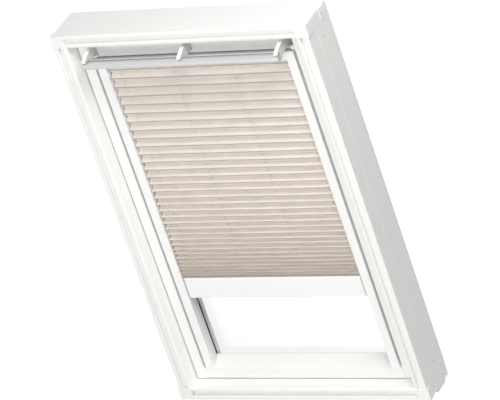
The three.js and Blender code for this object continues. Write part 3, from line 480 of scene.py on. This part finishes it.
def braided_cord(finishes):
    """Braided polyester cord. Reads as a thin beige line with slanting strands."""
    made, tree = empty_material("braided_cord")
    place = add(tree, "ShaderNodeTexCoord").outputs["Object"]
    # Strands wrap round about every 2 mm; at this scale they are drawn every 7.9 mm, so that they show
    strands = add(tree, "ShaderNodeTexWave", {"Vector": place, "Scale": STRAND_SCALE, "Distortion": 1.5},
                  bands_direction="DIAGONAL")
    darker = tuple(c * 0.8 for c in finishes.cord[:3]) + (1.0,)
    tone = add(tree, "ShaderNodeMix", {0: strands.outputs["Fac"], 6: darker, 7: finishes.cord}, data_type="RGBA")
    bump = add(tree, "ShaderNodeBump", {"Height": strands.outputs["Fac"], "Strength": 0.4, "Distance": 0.0002})
    shader = add(tree, "ShaderNodeBsdfPrincipled", {
        "Base Color": tone.outputs[2],
        "Roughness": 0.8,
        "Normal": bump.outputs["Normal"],
        "IOR": 1.5,
    })
    add(tree, "ShaderNodeOutputMaterial", {"Surface": shader.outputs[0]})
    return made


def seen_rays(tree):
    """Two switches for rays that show the surroundings: one for those that come straight from the camera or
    through glass or cloth, one for those that a gloss or a metal mirrors."""
    ray = add(tree, "ShaderNodeLightPath")
    first = add(tree, "ShaderNodeMath", {0: ray.outputs["Diffuse Depth"], 1: 0.5}, operation="LESS_THAN")
    glazed = add(tree, "ShaderNodeMath", {0: ray.outputs["Is Transmission Ray"], 1: first.outputs[0]},
                 operation="MULTIPLY")
    clear = add(tree, "ShaderNodeMath", {0: ray.outputs["Is Camera Ray"], 1: glazed.outputs[0]},
                operation="MAXIMUM")
    mirrored = add(tree, "ShaderNodeMath", {0: ray.outputs["Is Glossy Ray"], 1: first.outputs[0]},
                   operation="MULTIPLY")
    return clear.outputs[0], mirrored.outputs[0]


def studio_paper(finishes):
    """Seamless paper floor. Reads as plain white that keeps the window's shadow."""
    made, tree = empty_material("studio_paper")
    place = add(tree, "ShaderNodeTexCoord").outputs["Object"]
    grain = add(tree, "ShaderNodeTexNoise", {"Vector": place, "Scale": 1 / 0.004, "Detail": 2.0})
    bump = add(tree, "ShaderNodeBump", {"Height": grain.outputs["Fac"], "Strength": 0.05, "Distance": 0.0005})
    paper = add(tree, "ShaderNodeBsdfPrincipled", {
        "Base Color": finishes.floor,
        "Roughness": 0.9,
        "Specular IOR Level": 0.1,
        "Normal": bump.outputs["Normal"],
    })
    clear, mirrored = seen_rays(tree)
    shine = add(tree, "ShaderNodeMath", {0: mirrored, 1: FLOOR_MIRRORED}, operation="MULTIPLY")
    lift = add(tree, "ShaderNodeMath", {0: clear, 1: FLOOR_SEEN}, operation="MULTIPLY")
    either = add(tree, "ShaderNodeMath", {0: shine.outputs[0], 1: lift.outputs[0]}, operation="MAXIMUM")
    glow = add(tree, "ShaderNodeEmission", {"Color": WHITE, "Strength": either.outputs[0]})
    both = add(tree, "ShaderNodeAddShader", {0: paper.outputs[0], 1: glow.outputs[0]})
    add(tree, "ShaderNodeOutputMaterial", {"Surface": both.outputs[0]})
    return made


def finish_of(maker, finishes):
    """The material that a maker function gives, made once."""
    return bpy.data.materials.get(maker.__name__) or maker(finishes)


# Meshes


def smooth_by_angle(limit):
    """A node group that shades faces smooth and keeps edges over an angle sharp, made once."""
    name = f"smooth_by_angle_{round(math.degrees(limit))}"
    tree = bpy.data.node_groups.get(name)
    if tree:
        return tree
    tree = bpy.data.node_groups.new(name, "GeometryNodeTree")
    tree.interface.new_socket("Geometry", in_out="INPUT", socket_type="NodeSocketGeometry")
    tree.interface.new_socket("Geometry", in_out="OUTPUT", socket_type="NodeSocketGeometry")
    start = add(tree, "NodeGroupInput")
    angle = add(tree, "GeometryNodeInputMeshEdgeAngle")
    sharp = add(tree, "FunctionNodeCompare", {0: angle.outputs[0], 1: limit}, operation="GREATER_THAN")
    soft = add(tree, "GeometryNodeSetShadeSmooth", {0: start.outputs[0], "Shade Smooth": True}, domain="FACE")
    edged = add(tree, "GeometryNodeSetShadeSmooth",
                {0: soft.outputs[0], "Selection": sharp.outputs[0], "Shade Smooth": False}, domain="EDGE")
    add(tree, "NodeGroupOutput", {0: edged.outputs[0]})
    return tree


def smooth(piece, limit=math.radians(40)):
    """Shades a piece smooth up to an angle, by a modifier, so that its mesh stays as it is."""
    piece.modifiers.new("smooth", "NODES").node_group = smooth_by_angle(limit)


def ease(piece, radius):
    """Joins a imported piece's flat facets and rounds its edges, by modifiers."""
    flats = piece.modifiers.new("flats", "DECIMATE")
    flats.decimate_type = "DISSOLVE"
    flats.angle_limit = math.radians(0.3)
    edges = piece.modifiers.new("edges", "BEVEL")
    edges.width = radius
    edges.segments = 2
    edges.limit_method = "ANGLE"
    edges.angle_limit = math.radians(30)
    edges.miter_outer = "MITER_ARC"
    edges.use_clamp_overlap = False
    smooth(piece, CRISP)
    even = piece.modifiers.new("even", "WEIGHTED_NORMAL")
    even.keep_sharp = True


def coat(nodes, maker, finishes, radius=0.0):
    """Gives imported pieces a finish, and rounded edges where a radius is given."""
    for name in nodes:
        piece = bpy.data.objects[name]
        piece.data.materials.clear()
        piece.data.materials.append(finish_of(maker, finishes))
        if radius:
            ease(piece, radius)
        else:
            smooth(piece)


def in_scene(name, data):
    """A new object in the scene that shows a mesh, a lamp or a camera."""
    made = bpy.data.objects.new(name, data)
    bpy.context.scene.collection.objects.link(made)
    return made


def piece_from(name, vertices, faces, material):
    """A new mesh piece in the scene."""
    mesh = bpy.data.meshes.new(name)
    mesh.from_pydata([tuple(v) for v in vertices], [], faces)
    mesh.validate()
    mesh.materials.append(material)
    return in_scene(name, mesh)


def lathe(rings, count):
    """Vertices and faces of stacked rings; each ring is a height and a function of angle that gives a radius."""
    vertices = []
    for height, radius in rings:
        for i in range(count):
            angle = 2 * math.pi * i / count
            r = radius(angle) if callable(radius) else radius
            vertices.append((r * math.cos(angle), r * math.sin(angle), height))
    faces = []
    for row in range(len(rings) - 1):
        for i in range(count):
            a, b = row * count + i, row * count + (i + 1) % count
            faces.append((a, b, b + count, a + count))
    faces.append(tuple(reversed(range(count))))
    faces.append(tuple(range((len(rings) - 1) * count, len(rings) * count)))
    return vertices, faces


def lobed(radius):
    """Radius of a six-lobed screw socket at an angle."""
    return lambda angle: radius * (1 + 0.14 * math.cos(6 * angle))


def turned_to(outward, at, vertices):
    """Points made along +Z, turned to look outward and moved to a place."""
    turn = Vector((0, 0, 1)).rotation_difference(Vector(outward)).to_matrix()
    return [turn @ Vector(v) + Vector(at) for v in vertices]


def nail(name, at, outward, body, finishes):
    """A round wire nail driven flush through a comb joint; only its domed head shows."""
    head, shank, long, dome = 0.0016, 0.0008, 0.018, 0.0003
    rings = [
        (-long, 0.0001),
        (-long + 3 * shank, shank),
        (-head, shank),
        (-head * 0.3, head * 0.92),
        (dome * 0.2, head),
        (dome * 0.8, head * 0.8),
        (dome, head * 0.4),
    ]
    vertices, faces = lathe(rings, 20)
    piece = piece_from(name, turned_to(outward, at, vertices), faces, finish_of(zinc_plated_steel, finishes))
    smooth(piece, CRISP)
    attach(piece, body)


def moulded_plug(name, low, high, finishes):
    """A shallow moulded end plug: a plate with rounded edges and a sunk panel."""
    mesh = bmesh.new()
    bmesh.ops.create_cube(mesh, size=1.0)
    size = Vector(high) - Vector(low)
    middle = (Vector(high) + Vector(low)) / 2
    for vertex in mesh.verts:
        vertex.co = Vector([c * s for c, s in zip(vertex.co, size)]) + middle
    top = max(mesh.faces, key=lambda face: face.calc_center_median().z)
    rim = 0.0022
    bmesh.ops.inset_individual(mesh, faces=[top], thickness=rim, depth=0.0)
    bmesh.ops.inset_individual(mesh, faces=[top], thickness=rim * 0.2, depth=-size.z * 0.35)
    data = bpy.data.meshes.new(name)
    mesh.to_mesh(data)
    mesh.free()
    data.materials.append(finish_of(white_moulded_abs, finishes))
    piece = in_scene(name, data)
    edges = piece.modifiers.new("edges", "BEVEL")
    edges.width, edges.segments = 0.0004, 2
    smooth(piece, CRISP)
    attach(piece, "sash")


def screw(name, at, outward, body, finishes, head, shank, long, replaces=()):
    """A countersunk screw with a six-lobed socket; its head's face lies at a point and looks outward."""
    socket = head * 0.5
    rings = [
        (-long, shank * 0.3),
        (-long + shank * 2, shank),
        (-head * 0.9, shank),
        (-head * 0.12, head * 0.97),
        (-head * 0.03, head),
        (0.0, head * 0.96),
        (0.0, lobed(socket * 1.08)),
        (-head * 0.06, lobed(socket)),
        (-head * 0.5, lobed(socket * 0.9)),
    ]
    vertices, faces = lathe(rings, 36)
    piece = piece_from(name, turned_to(outward, at, vertices), faces, finish_of(zinc_plated_steel, finishes))
    smooth(piece, CRISP)
    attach(piece, body)
    if replaces:
        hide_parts(*replaces)


# Blind


def pleat_fall(share):
    """Share of the drop used at a share of the folds: wide pleats above, close ones below."""
    ease_power, spread = 2.6, 2.5
    whole = 1 + spread * (1 - 1 / ease_power)
    return (share + spread * (share - share ** ease_power / ease_power)) / whole


def cloth_corners(sizes):
    """The zigzag of the cloth as Y and Z places, from the headrail to the bar."""
    first = CLOTH_TOP - TOP_STRIP
    drop = CLOTH_DROP - TOP_STRIP
    last = sizes.pleats - 1
    folds = [first - drop * pleat_fall(i / last) for i in range(sizes.pleats)]
    corners = [(CLOTH_Y, CLOTH_TOP)]
    for upper, lower in zip(folds, folds[1:]):
        fall = (upper - lower) / 2
        reach = math.sqrt(max(sizes.panel ** 2 - fall ** 2, 0)) / 2
        corners.append((CLOTH_Y - reach, upper))
        corners.append((CLOTH_Y + reach, upper - fall))
    corners.append((CLOTH_Y, folds[-1]))
    return corners


def cloth_rows(sizes):
    """Rows of the cloth's mesh from top to bottom: place along the flat cloth, Y, Z, whether a row starts the strip
    that holds the cord holes, and 1 where it lies on a fold towards the room, where the painted fold shade goes,
    otherwise 0."""
    corners = cloth_corners(sizes)
    rows = []
    run = 0.0
    for i, (a, b) in enumerate(zip(corners, corners[1:])):
        ay, az = a
        by, bz = b
        span = math.dist(a, b)
        out = ((bz - az) / span, -(by - ay) / span)
        bow = sizes.panel_bow if i % 2 else -sizes.panel_bow
        whole = i not in (0, len(corners) - 2)
        marks = [(0.0, False)] if i == 0 else []
        bend = sizes.fold_round
        half = sizes.hole * HOLE_CELL
        if whole:
            marks += [(bend, False), (span * 0.25, False), (span / 2 - half, True), (span / 2 + half, False),
                      (span * 0.75, False), (span - bend, False)]
        else:
            marks += [(bend if i else span * 0.5, False), (span - bend if i == 0 else span * 0.6, False)]
        marks.append((span, False))
        for s, starts in marks:
            t = s / span
            lift = bow * math.sin(math.pi * t)
            # A fold's corner is drawn back a little, so that the bend is round
            at_fold = s == span and i < len(corners) - 2
            back = math.copysign(0.3 * bend, CLOTH_Y - by) if at_fold else 0.0
            y = ay + (by - ay) * t + out[0] * lift + back
            z = az + (bz - az) * t + out[1] * lift
            folded = (i % 2 == 1 and s <= bend) or (i % 2 == 0 and s >= span - bend)
            rows.append((run + s, y, z, starts, 1.0 if folded else 0.0))
        run += span
    return rows, run


def cloth_columns(sizes):
    """X places of the cloth's columns, with a pair round each line of cord holes."""
    half = sizes.hole * HOLE_CELL
    cords = [share * CLOTH_HALF for share in CORD_SHARES]
    fixed = sorted([-CLOTH_HALF, CLOTH_HALF] + [x + side * half for x in cords for side in (-1, 1)])
    columns = []
    for a, b in zip(fixed, fixed[1:]):
        steps = max(1, round((b - a) / COLUMN_STEP))
        columns += [a + (b - a) * i / steps for i in range(steps)]
    return columns + [CLOTH_HALF], {round(x - half, 6) for x in cords}


def waver(x, row):
    """A slow stray of the folds from straight, from -1 to 1, different for each fold."""
    phase = row * 2.399
    return 0.6 * math.sin(x * 14 + phase) + 0.4 * math.sin(x * 31 + 1.7 * phase)


def punched(mesh, cell, places, radius):
    """Corners of the faces round a hole that is punched in one cell of the cloth; the cell's own face is left out."""
    centre = sum((v.co for v in cell), Vector()) / 4
    middle = [sum(places[v][k] for v in cell) / 4 for k in (0, 1)]
    across = (cell[3].co - cell[0].co).normalized()
    down = (cell[1].co - cell[0].co).normalized()
    ring = []
    for i in range(HOLE_POINTS):
        angle = math.radians(-135 + 360 / HOLE_POINTS * i)
        u, v = radius * math.cos(angle), radius * math.sin(angle)
        vertex = mesh.verts.new(centre + across * u + down * v)
        places[vertex] = (middle[0] + u, middle[1] + v)
        ring.append(vertex)
    around = [cell[0], cell[3], cell[2], cell[1]]
    share = HOLE_POINTS // 4
    for side in range(4):
        arc = [ring[(share * side + k) % HOLE_POINTS] for k in range(share + 1)]
        yield [around[(side + 1) % 4], around[side]] + arc


def build_cloth(sizes, finishes):
    """The pleated cloth as one sheet, with round holes punched for the cords, and its flat length."""
    rows, run = cloth_rows(sizes)
    columns, hole_columns = cloth_columns(sizes)
    mesh = bmesh.new()
    flat = mesh.loops.layers.uv.new("flat_cloth")
    # Share of painted fold shade at each point of the cloth
    fold_shade_attribute = mesh.verts.layers.float.new("fold_painted_shade")
    places = {}
    grid = []
    for number, (s, y, z, _, fold_shade_share) in enumerate(rows):
        line = []
        for x in columns:
            stray = waver(x, number // PANEL_ROWS) * sizes.fold_waver if 0 < number < len(rows) - 1 else 0.0
            vertex = mesh.verts.new((x, y + stray, z + 0.5 * stray))
            places[vertex] = (x, s)
            vertex[fold_shade_attribute] = fold_shade_share
            line.append(vertex)
        grid.append(line)
    for r in range(len(rows) - 1):
        for c in range(len(columns) - 1):
            cell = [grid[r][c], grid[r + 1][c], grid[r + 1][c + 1], grid[r][c + 1]]
            holed = rows[r][3] and round(columns[c], 6) in hole_columns
            for corners in punched(mesh, cell, places, sizes.hole) if holed else [cell]:
                made = mesh.faces.new(corners)
                made.smooth = True
                for loop in made.loops:
                    loop[flat].uv = places[loop.vert]
    mesh.normal_update()
    data = bpy.data.meshes.new("pleated_cloth_folds")
    mesh.to_mesh(data)
    mesh.free()
    data.materials.append(finish_of(pleated_polyester, finishes))
    return in_scene("pleated_cloth_folds", data), run


def follow_bar(piece):
    """Bakes a piece's transform into its mesh."""
    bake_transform(piece)


def build_cord(word, share, sizes, finishes):
    """One lift cord, a round line down the middle of the folds."""
    count, steps = 10, 24
    x = share * CLOTH_HALF
    vertices, faces = [], []
    for row in range(steps + 1):
        z = CLOTH_TOP + (CLOTH_BOTTOM - CLOTH_TOP) * row / steps
        for i in range(count):
            angle = 2 * math.pi * i / count
            vertices.append((x + sizes.cord * math.cos(angle), CLOTH_Y + sizes.cord * math.sin(angle), z))
    for row in range(steps):
        for i in range(count):
            a, b = row * count + i, row * count + (i + 1) % count
            faces.append((a, a + count, b + count, b))
    faces.append(tuple(range(count)))
    faces.append(tuple(reversed(range(steps * count, (steps + 1) * count))))
    cord = piece_from(f"braided_cord_{word}", vertices, faces, finish_of(braided_cord, finishes))
    smooth(cord)
    follow_bar(cord)
    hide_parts(f"lift_cord_{word}")


# Operators


def settings(context):
    """The add-on's finishes, sizes and stage of the scene."""
    scene = context.scene
    return scene.roof_window_finishes, scene.roof_window_sizes, scene.roof_window_stage


class ROOFWINDOW_OT_frame(Operator):
    """Coats the frame's boards, corner blocks, plates and washers, and drives in its screws and nails"""

    bl_idname = "roofwindow.frame"
    bl_label = "Frame"

    def execute(self, context):
        finishes, sizes, _ = settings(context)
        boards = ["frame_head", "frame_sill", "jamb_left", "jamb_right"]
        boards += [f"corner_block_{end}_{side}" for end in ("top", "bottom") for side, _ in SIDES]
        coat(boards, white_lacquered_timber, finishes, sizes.board_round)
        coat(["striker_plate", "jamb_plate_left", "jamb_plate_right"], zinc_plated_steel, finishes,
             sizes.metal_round)
        coat(["friction_washer_left", "friction_washer_right"], extruded_rubber, finishes, sizes.metal_round)
        for word, side in SIDES:
            for end, z in (("bottom", FRAME_SCREW_FROM_END), ("top", HEIGHT - FRAME_SCREW_FROM_END)):
                at = (side * (HALF_WIDTH - FRAME_SCREW_SUNK), deep(FRAME_SCREW_DEPTH), z)
                screw(f"frame_screw_{end}_{word}", at, (side, 0, 0), "frame", finishes,
                      replaces=[f"corner_screw_{end}_{word}"], **FRAME_SCREW)
                for place, proud, depth, from_end in SIDE_NAILS:
                    height = from_end if end == "bottom" else HEIGHT - from_end
                    at = (side * (HALF_WIDTH + proud), deep(depth), height)
                    nail(f"side_nail_{place}_{end}_{word}", at, (side, 0, 0), "frame", finishes)
            nail(f"top_nail_{word}", (side * TOP_NAIL_X, deep(TOP_NAIL_DEPTH), HEIGHT), (0, 0, 1), "frame", finishes)
        return {"FINISHED"}


class ROOFWINDOW_OT_sash(Operator):
    """Coats the sash's boards, plates, pins, seals and latch"""

    bl_idname = "roofwindow.sash"
    bl_label = "Sash"

    def execute(self, context):
        finishes, sizes, _ = settings(context)
        coat(["stile_left", "stile_right", "sash_head", "sash_sill"], white_lacquered_timber, finishes,
             sizes.board_round)
        coat(["stile_plate_left", "stile_plate_right", "pivot_pin_left", "pivot_pin_right", "flap_rod",
              "latch_tongue"], zinc_plated_steel, finishes, sizes.metal_round)
        coat(["weather_seal_upper", "weather_seal_lower"], extruded_rubber, finishes, sizes.metal_round)
        coat(["latch_case", "rod_bracket_left", "rod_bracket_right"], white_moulded_abs, finishes,
             sizes.metal_round)
        return {"FINISHED"}


class ROOFWINDOW_OT_glazing(Operator):
    """Finishes the panes, their spacer, gaskets and outside covers, and screws the covers on"""

    bl_idname = "roofwindow.glazing"
    bl_label = "Glazing"

    def execute(self, context):
        finishes, sizes, _ = settings(context)
        coat(["pane_inner", "pane_outer"], float_glass, finishes)
        coat(["pane_spacer"], spacer_aluminium, finishes)
        coat(["side_gasket_left", "side_gasket_right"], extruded_rubber, finishes, sizes.metal_round)
        coat(["cover_left", "cover_right", "cover_top", "cover_bottom"], lacquered_cladding, finishes,
             sizes.metal_round)
        # The heads stand a little off the covers' outer face
        outside = deep(COVER_SCREW_DEPTH) + COVER_SCREW_PROUD
        for word, side in SIDES:
            for i, z in enumerate(COVER_SCREW_HEIGHTS):
                screw(f"cover_screw_{word}_{i + 1}", (side * COVER_SCREW_X, outside, z), (0, 1, 0), "sash",
                      finishes, **COVER_SCREW)
        return {"FINISHED"}


class ROOFWINDOW_OT_flap(Operator):
    """Finishes the ventilation flap, its arms and the control bar"""

    bl_idname = "roofwindow.flap"
    bl_label = "Flap and bar"

    def execute(self, context):
        finishes, sizes, _ = settings(context)
        coat(["ventilation_flap"], white_lacquered_timber, finishes, sizes.metal_round)
        coat(["control_bar"], anodised_aluminium, finishes)
        coat(["bar_arm_left", "bar_arm_middle", "bar_arm_right"], abs_with_painted_side_shade, finishes, sizes.board_round)
        return {"FINISHED"}


class ROOFWINDOW_OT_blind_rails(Operator):
    """Finishes the blind's headrail, side channels, bottom bar and caps, and plugs the channels"""

    bl_idname = "roofwindow.blind_rails"
    bl_label = "Blind rails"

    def execute(self, context):
        finishes, sizes, _ = settings(context)
        coat(["blind_headrail", "blind_bottom_bar", "blind_channel_left", "blind_channel_right"],
             white_powder_coat, finishes, sizes.metal_round)
        for word, side in SIDES:
            start, end = sorted((side * PLUG_INNER, side * PLUG_OUTER))
            low = (start, deep(PLUG_FRONT_DEPTH), PLUG_FOOT)
            high = (end, deep(PLUG_BACK_DEPTH), PLUG_FOOT + PLUG_THICK)
            moulded_plug(f"channel_plug_{word}", low, high, finishes)
        coat(["headrail_cap_left", "headrail_cap_right", "bottom_bar_cap_left", "bottom_bar_cap_right"],
             white_moulded_abs, finishes, sizes.metal_round)
        return {"FINISHED"}


class ROOFWINDOW_OT_pleats(Operator):
    """Folds the pleated cloth and hangs it between the headrail and the bar"""

    bl_idname = "roofwindow.pleats"
    bl_label = "Pleated cloth"

    def execute(self, context):
        finishes, sizes, _ = settings(context)
        cloth, run = build_cloth(sizes, finishes)
        follow_bar(cloth)
        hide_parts("pleated_cloth")
        return {"FINISHED"}


class ROOFWINDOW_OT_cords(Operator):
    """Threads the lift cords down through the folds"""

    bl_idname = "roofwindow.cords"
    bl_label = "Lift cords"

    def execute(self, context):
        finishes, sizes, _ = settings(context)
        words = ("outer_left", "inner_left", "inner_right", "outer_right")
        for word, share in zip(words, CORD_SHARES):
            build_cord(word, share, sizes, finishes)
        return {"FINISHED"}


def hang_lamp(name, at, toward, wide, high, power):
    """A soft rectangular lamp at a place, turned toward a point."""
    data = bpy.data.lights.new(name, "AREA")
    data.shape = "RECTANGLE"
    data.size, data.size_y = wide, high
    data.energy = power
    lamp = in_scene(name, data)
    lamp.location = at
    lamp.rotation_mode = "QUATERNION"
    lamp.rotation_quaternion = (Vector(toward) - Vector(at)).to_track_quat("-Z", "Y")


class ROOFWINDOW_OT_stage(Operator):
    """Lays the floor, sets the light and places the camera at the picture's angle"""

    bl_idname = "roofwindow.stage"
    bl_label = "Stage"

    def execute(self, context):
        finishes, _, stage = settings(context)
        scene = context.scene
        floor_z = CAD_BOX[0][2]
        corners = [(x * FLOOR_REACH, y * FLOOR_REACH, floor_z) for x, y in ((-1, -1), (1, -1), (1, 1), (-1, 1))]
        floor = piece_from("floor", corners, [(0, 1, 2, 3)], finish_of(studio_paper, finishes))

        world = bpy.data.worlds.new("studio")
        world.use_nodes = True
        tree = world.node_tree
        tree.nodes.clear()
        # The surroundings light the window from the room side, and look white wherever they are seen
        toward = add(tree, "ShaderNodeSeparateXYZ", {0: add(tree, "ShaderNodeTexCoord").outputs["Generated"]})
        fall = add(tree, "ShaderNodeMapRange", {"Value": toward.outputs["Y"], "From Min": 0.0, "From Max": 0.75,
                                                "To Min": stage.front, "To Max": stage.back},
                   interpolation_type="SMOOTHSTEP")
        clear, mirrored = seen_rays(tree)
        shine = add(tree, "ShaderNodeMix", {0: mirrored, 2: fall.outputs[0], 3: SKY_MIRRORED}, data_type="FLOAT")
        strength = add(tree, "ShaderNodeMix", {0: clear, 2: shine.outputs[0], 3: SKY_SEEN}, data_type="FLOAT")
        sky = add(tree, "ShaderNodeBackground", {"Color": WHITE, "Strength": strength.outputs[0]})
        add(tree, "ShaderNodeOutputWorld", {"Surface": sky.outputs[0]})
        scene.world = world

        hang_lamp("key_lamp", *KEY_LAMP, stage.key)
        hang_lamp("fill_lamp", *FILL_LAMP, stage.fill)

        back = Vector((math.sin(stage.azimuth) * math.cos(stage.elevation),
                       -math.cos(stage.azimuth) * math.cos(stage.elevation), math.sin(stage.elevation)))
        level = Vector((math.cos(stage.azimuth), math.sin(stage.azimuth), 0))
        right = level * math.cos(stage.roll) + level.cross(back) * math.sin(stage.roll)
        up = back.cross(right)
        data = bpy.data.cameras.new("camera")
        data.sensor_width = SENSOR_WIDTH
        data.lens = stage.lens
        data.clip_start, data.clip_end = 0.1, 100.0
        camera = in_scene("camera", data)
        turned = Matrix((right, up, back)).transposed().to_4x4()
        camera.matrix_world = Matrix.Translation(PICTURE_MIDDLE + back * stage.distance) @ turned
        scene.camera = camera
        scene.view_settings.view_transform = "Standard"
        return {"FINISHED"}


OPERATORS = (
    ROOFWINDOW_OT_frame,
    ROOFWINDOW_OT_sash,
    ROOFWINDOW_OT_glazing,
    ROOFWINDOW_OT_flap,
    ROOFWINDOW_OT_blind_rails,
    ROOFWINDOW_OT_pleats,
    ROOFWINDOW_OT_cords,
    ROOFWINDOW_OT_stage,
)


class ROOFWINDOW_PT_panel(Panel):
    """Lists the steps that dress the roof window"""

    bl_idname = "ROOFWINDOW_PT_panel"
    bl_label = "Roof Window"
    bl_space_type = "VIEW_3D"
    bl_region_type = "UI"
    bl_category = "Roof Window"

    def draw(self, context):
        for group in settings(context):
            box = self.layout.box()
            for name in group.__annotations__:
                box.prop(group, name)
        for operator in OPERATORS:
            self.layout.operator(operator.bl_idname)


GROUPS = {
    "roof_window_finishes": RoofWindowFinishes,
    "roof_window_sizes": RoofWindowSizes,
    "roof_window_stage": RoofWindowStage,
}


def register():
    """Registers the settings, the operators and the panel."""
    for name, group in GROUPS.items():
        bpy.utils.register_class(group)
        setattr(bpy.types.Scene, name, PointerProperty(type=group))
    for operator in OPERATORS:
        bpy.utils.register_class(operator)
    bpy.utils.register_class(ROOFWINDOW_PT_panel)


def unregister():
    """Removes the panel, the operators and the settings."""
    bpy.utils.unregister_class(ROOFWINDOW_PT_panel)
    for operator in reversed(OPERATORS):
        bpy.utils.unregister_class(operator)
    for name, group in reversed(GROUPS.items()):
        delattr(bpy.types.Scene, name)
        bpy.utils.unregister_class(group)


def main():
    """Dresses the window step by step."""
    register()
    bpy.ops.roofwindow.frame()
    bpy.ops.roofwindow.sash()
    bpy.ops.roofwindow.glazing()
    bpy.ops.roofwindow.flap()
    bpy.ops.roofwindow.blind_rails()
    bpy.ops.roofwindow.pleats()
    bpy.ops.roofwindow.cords()
    bpy.ops.roofwindow.stage()


if __name__ == "__main__":
    main()
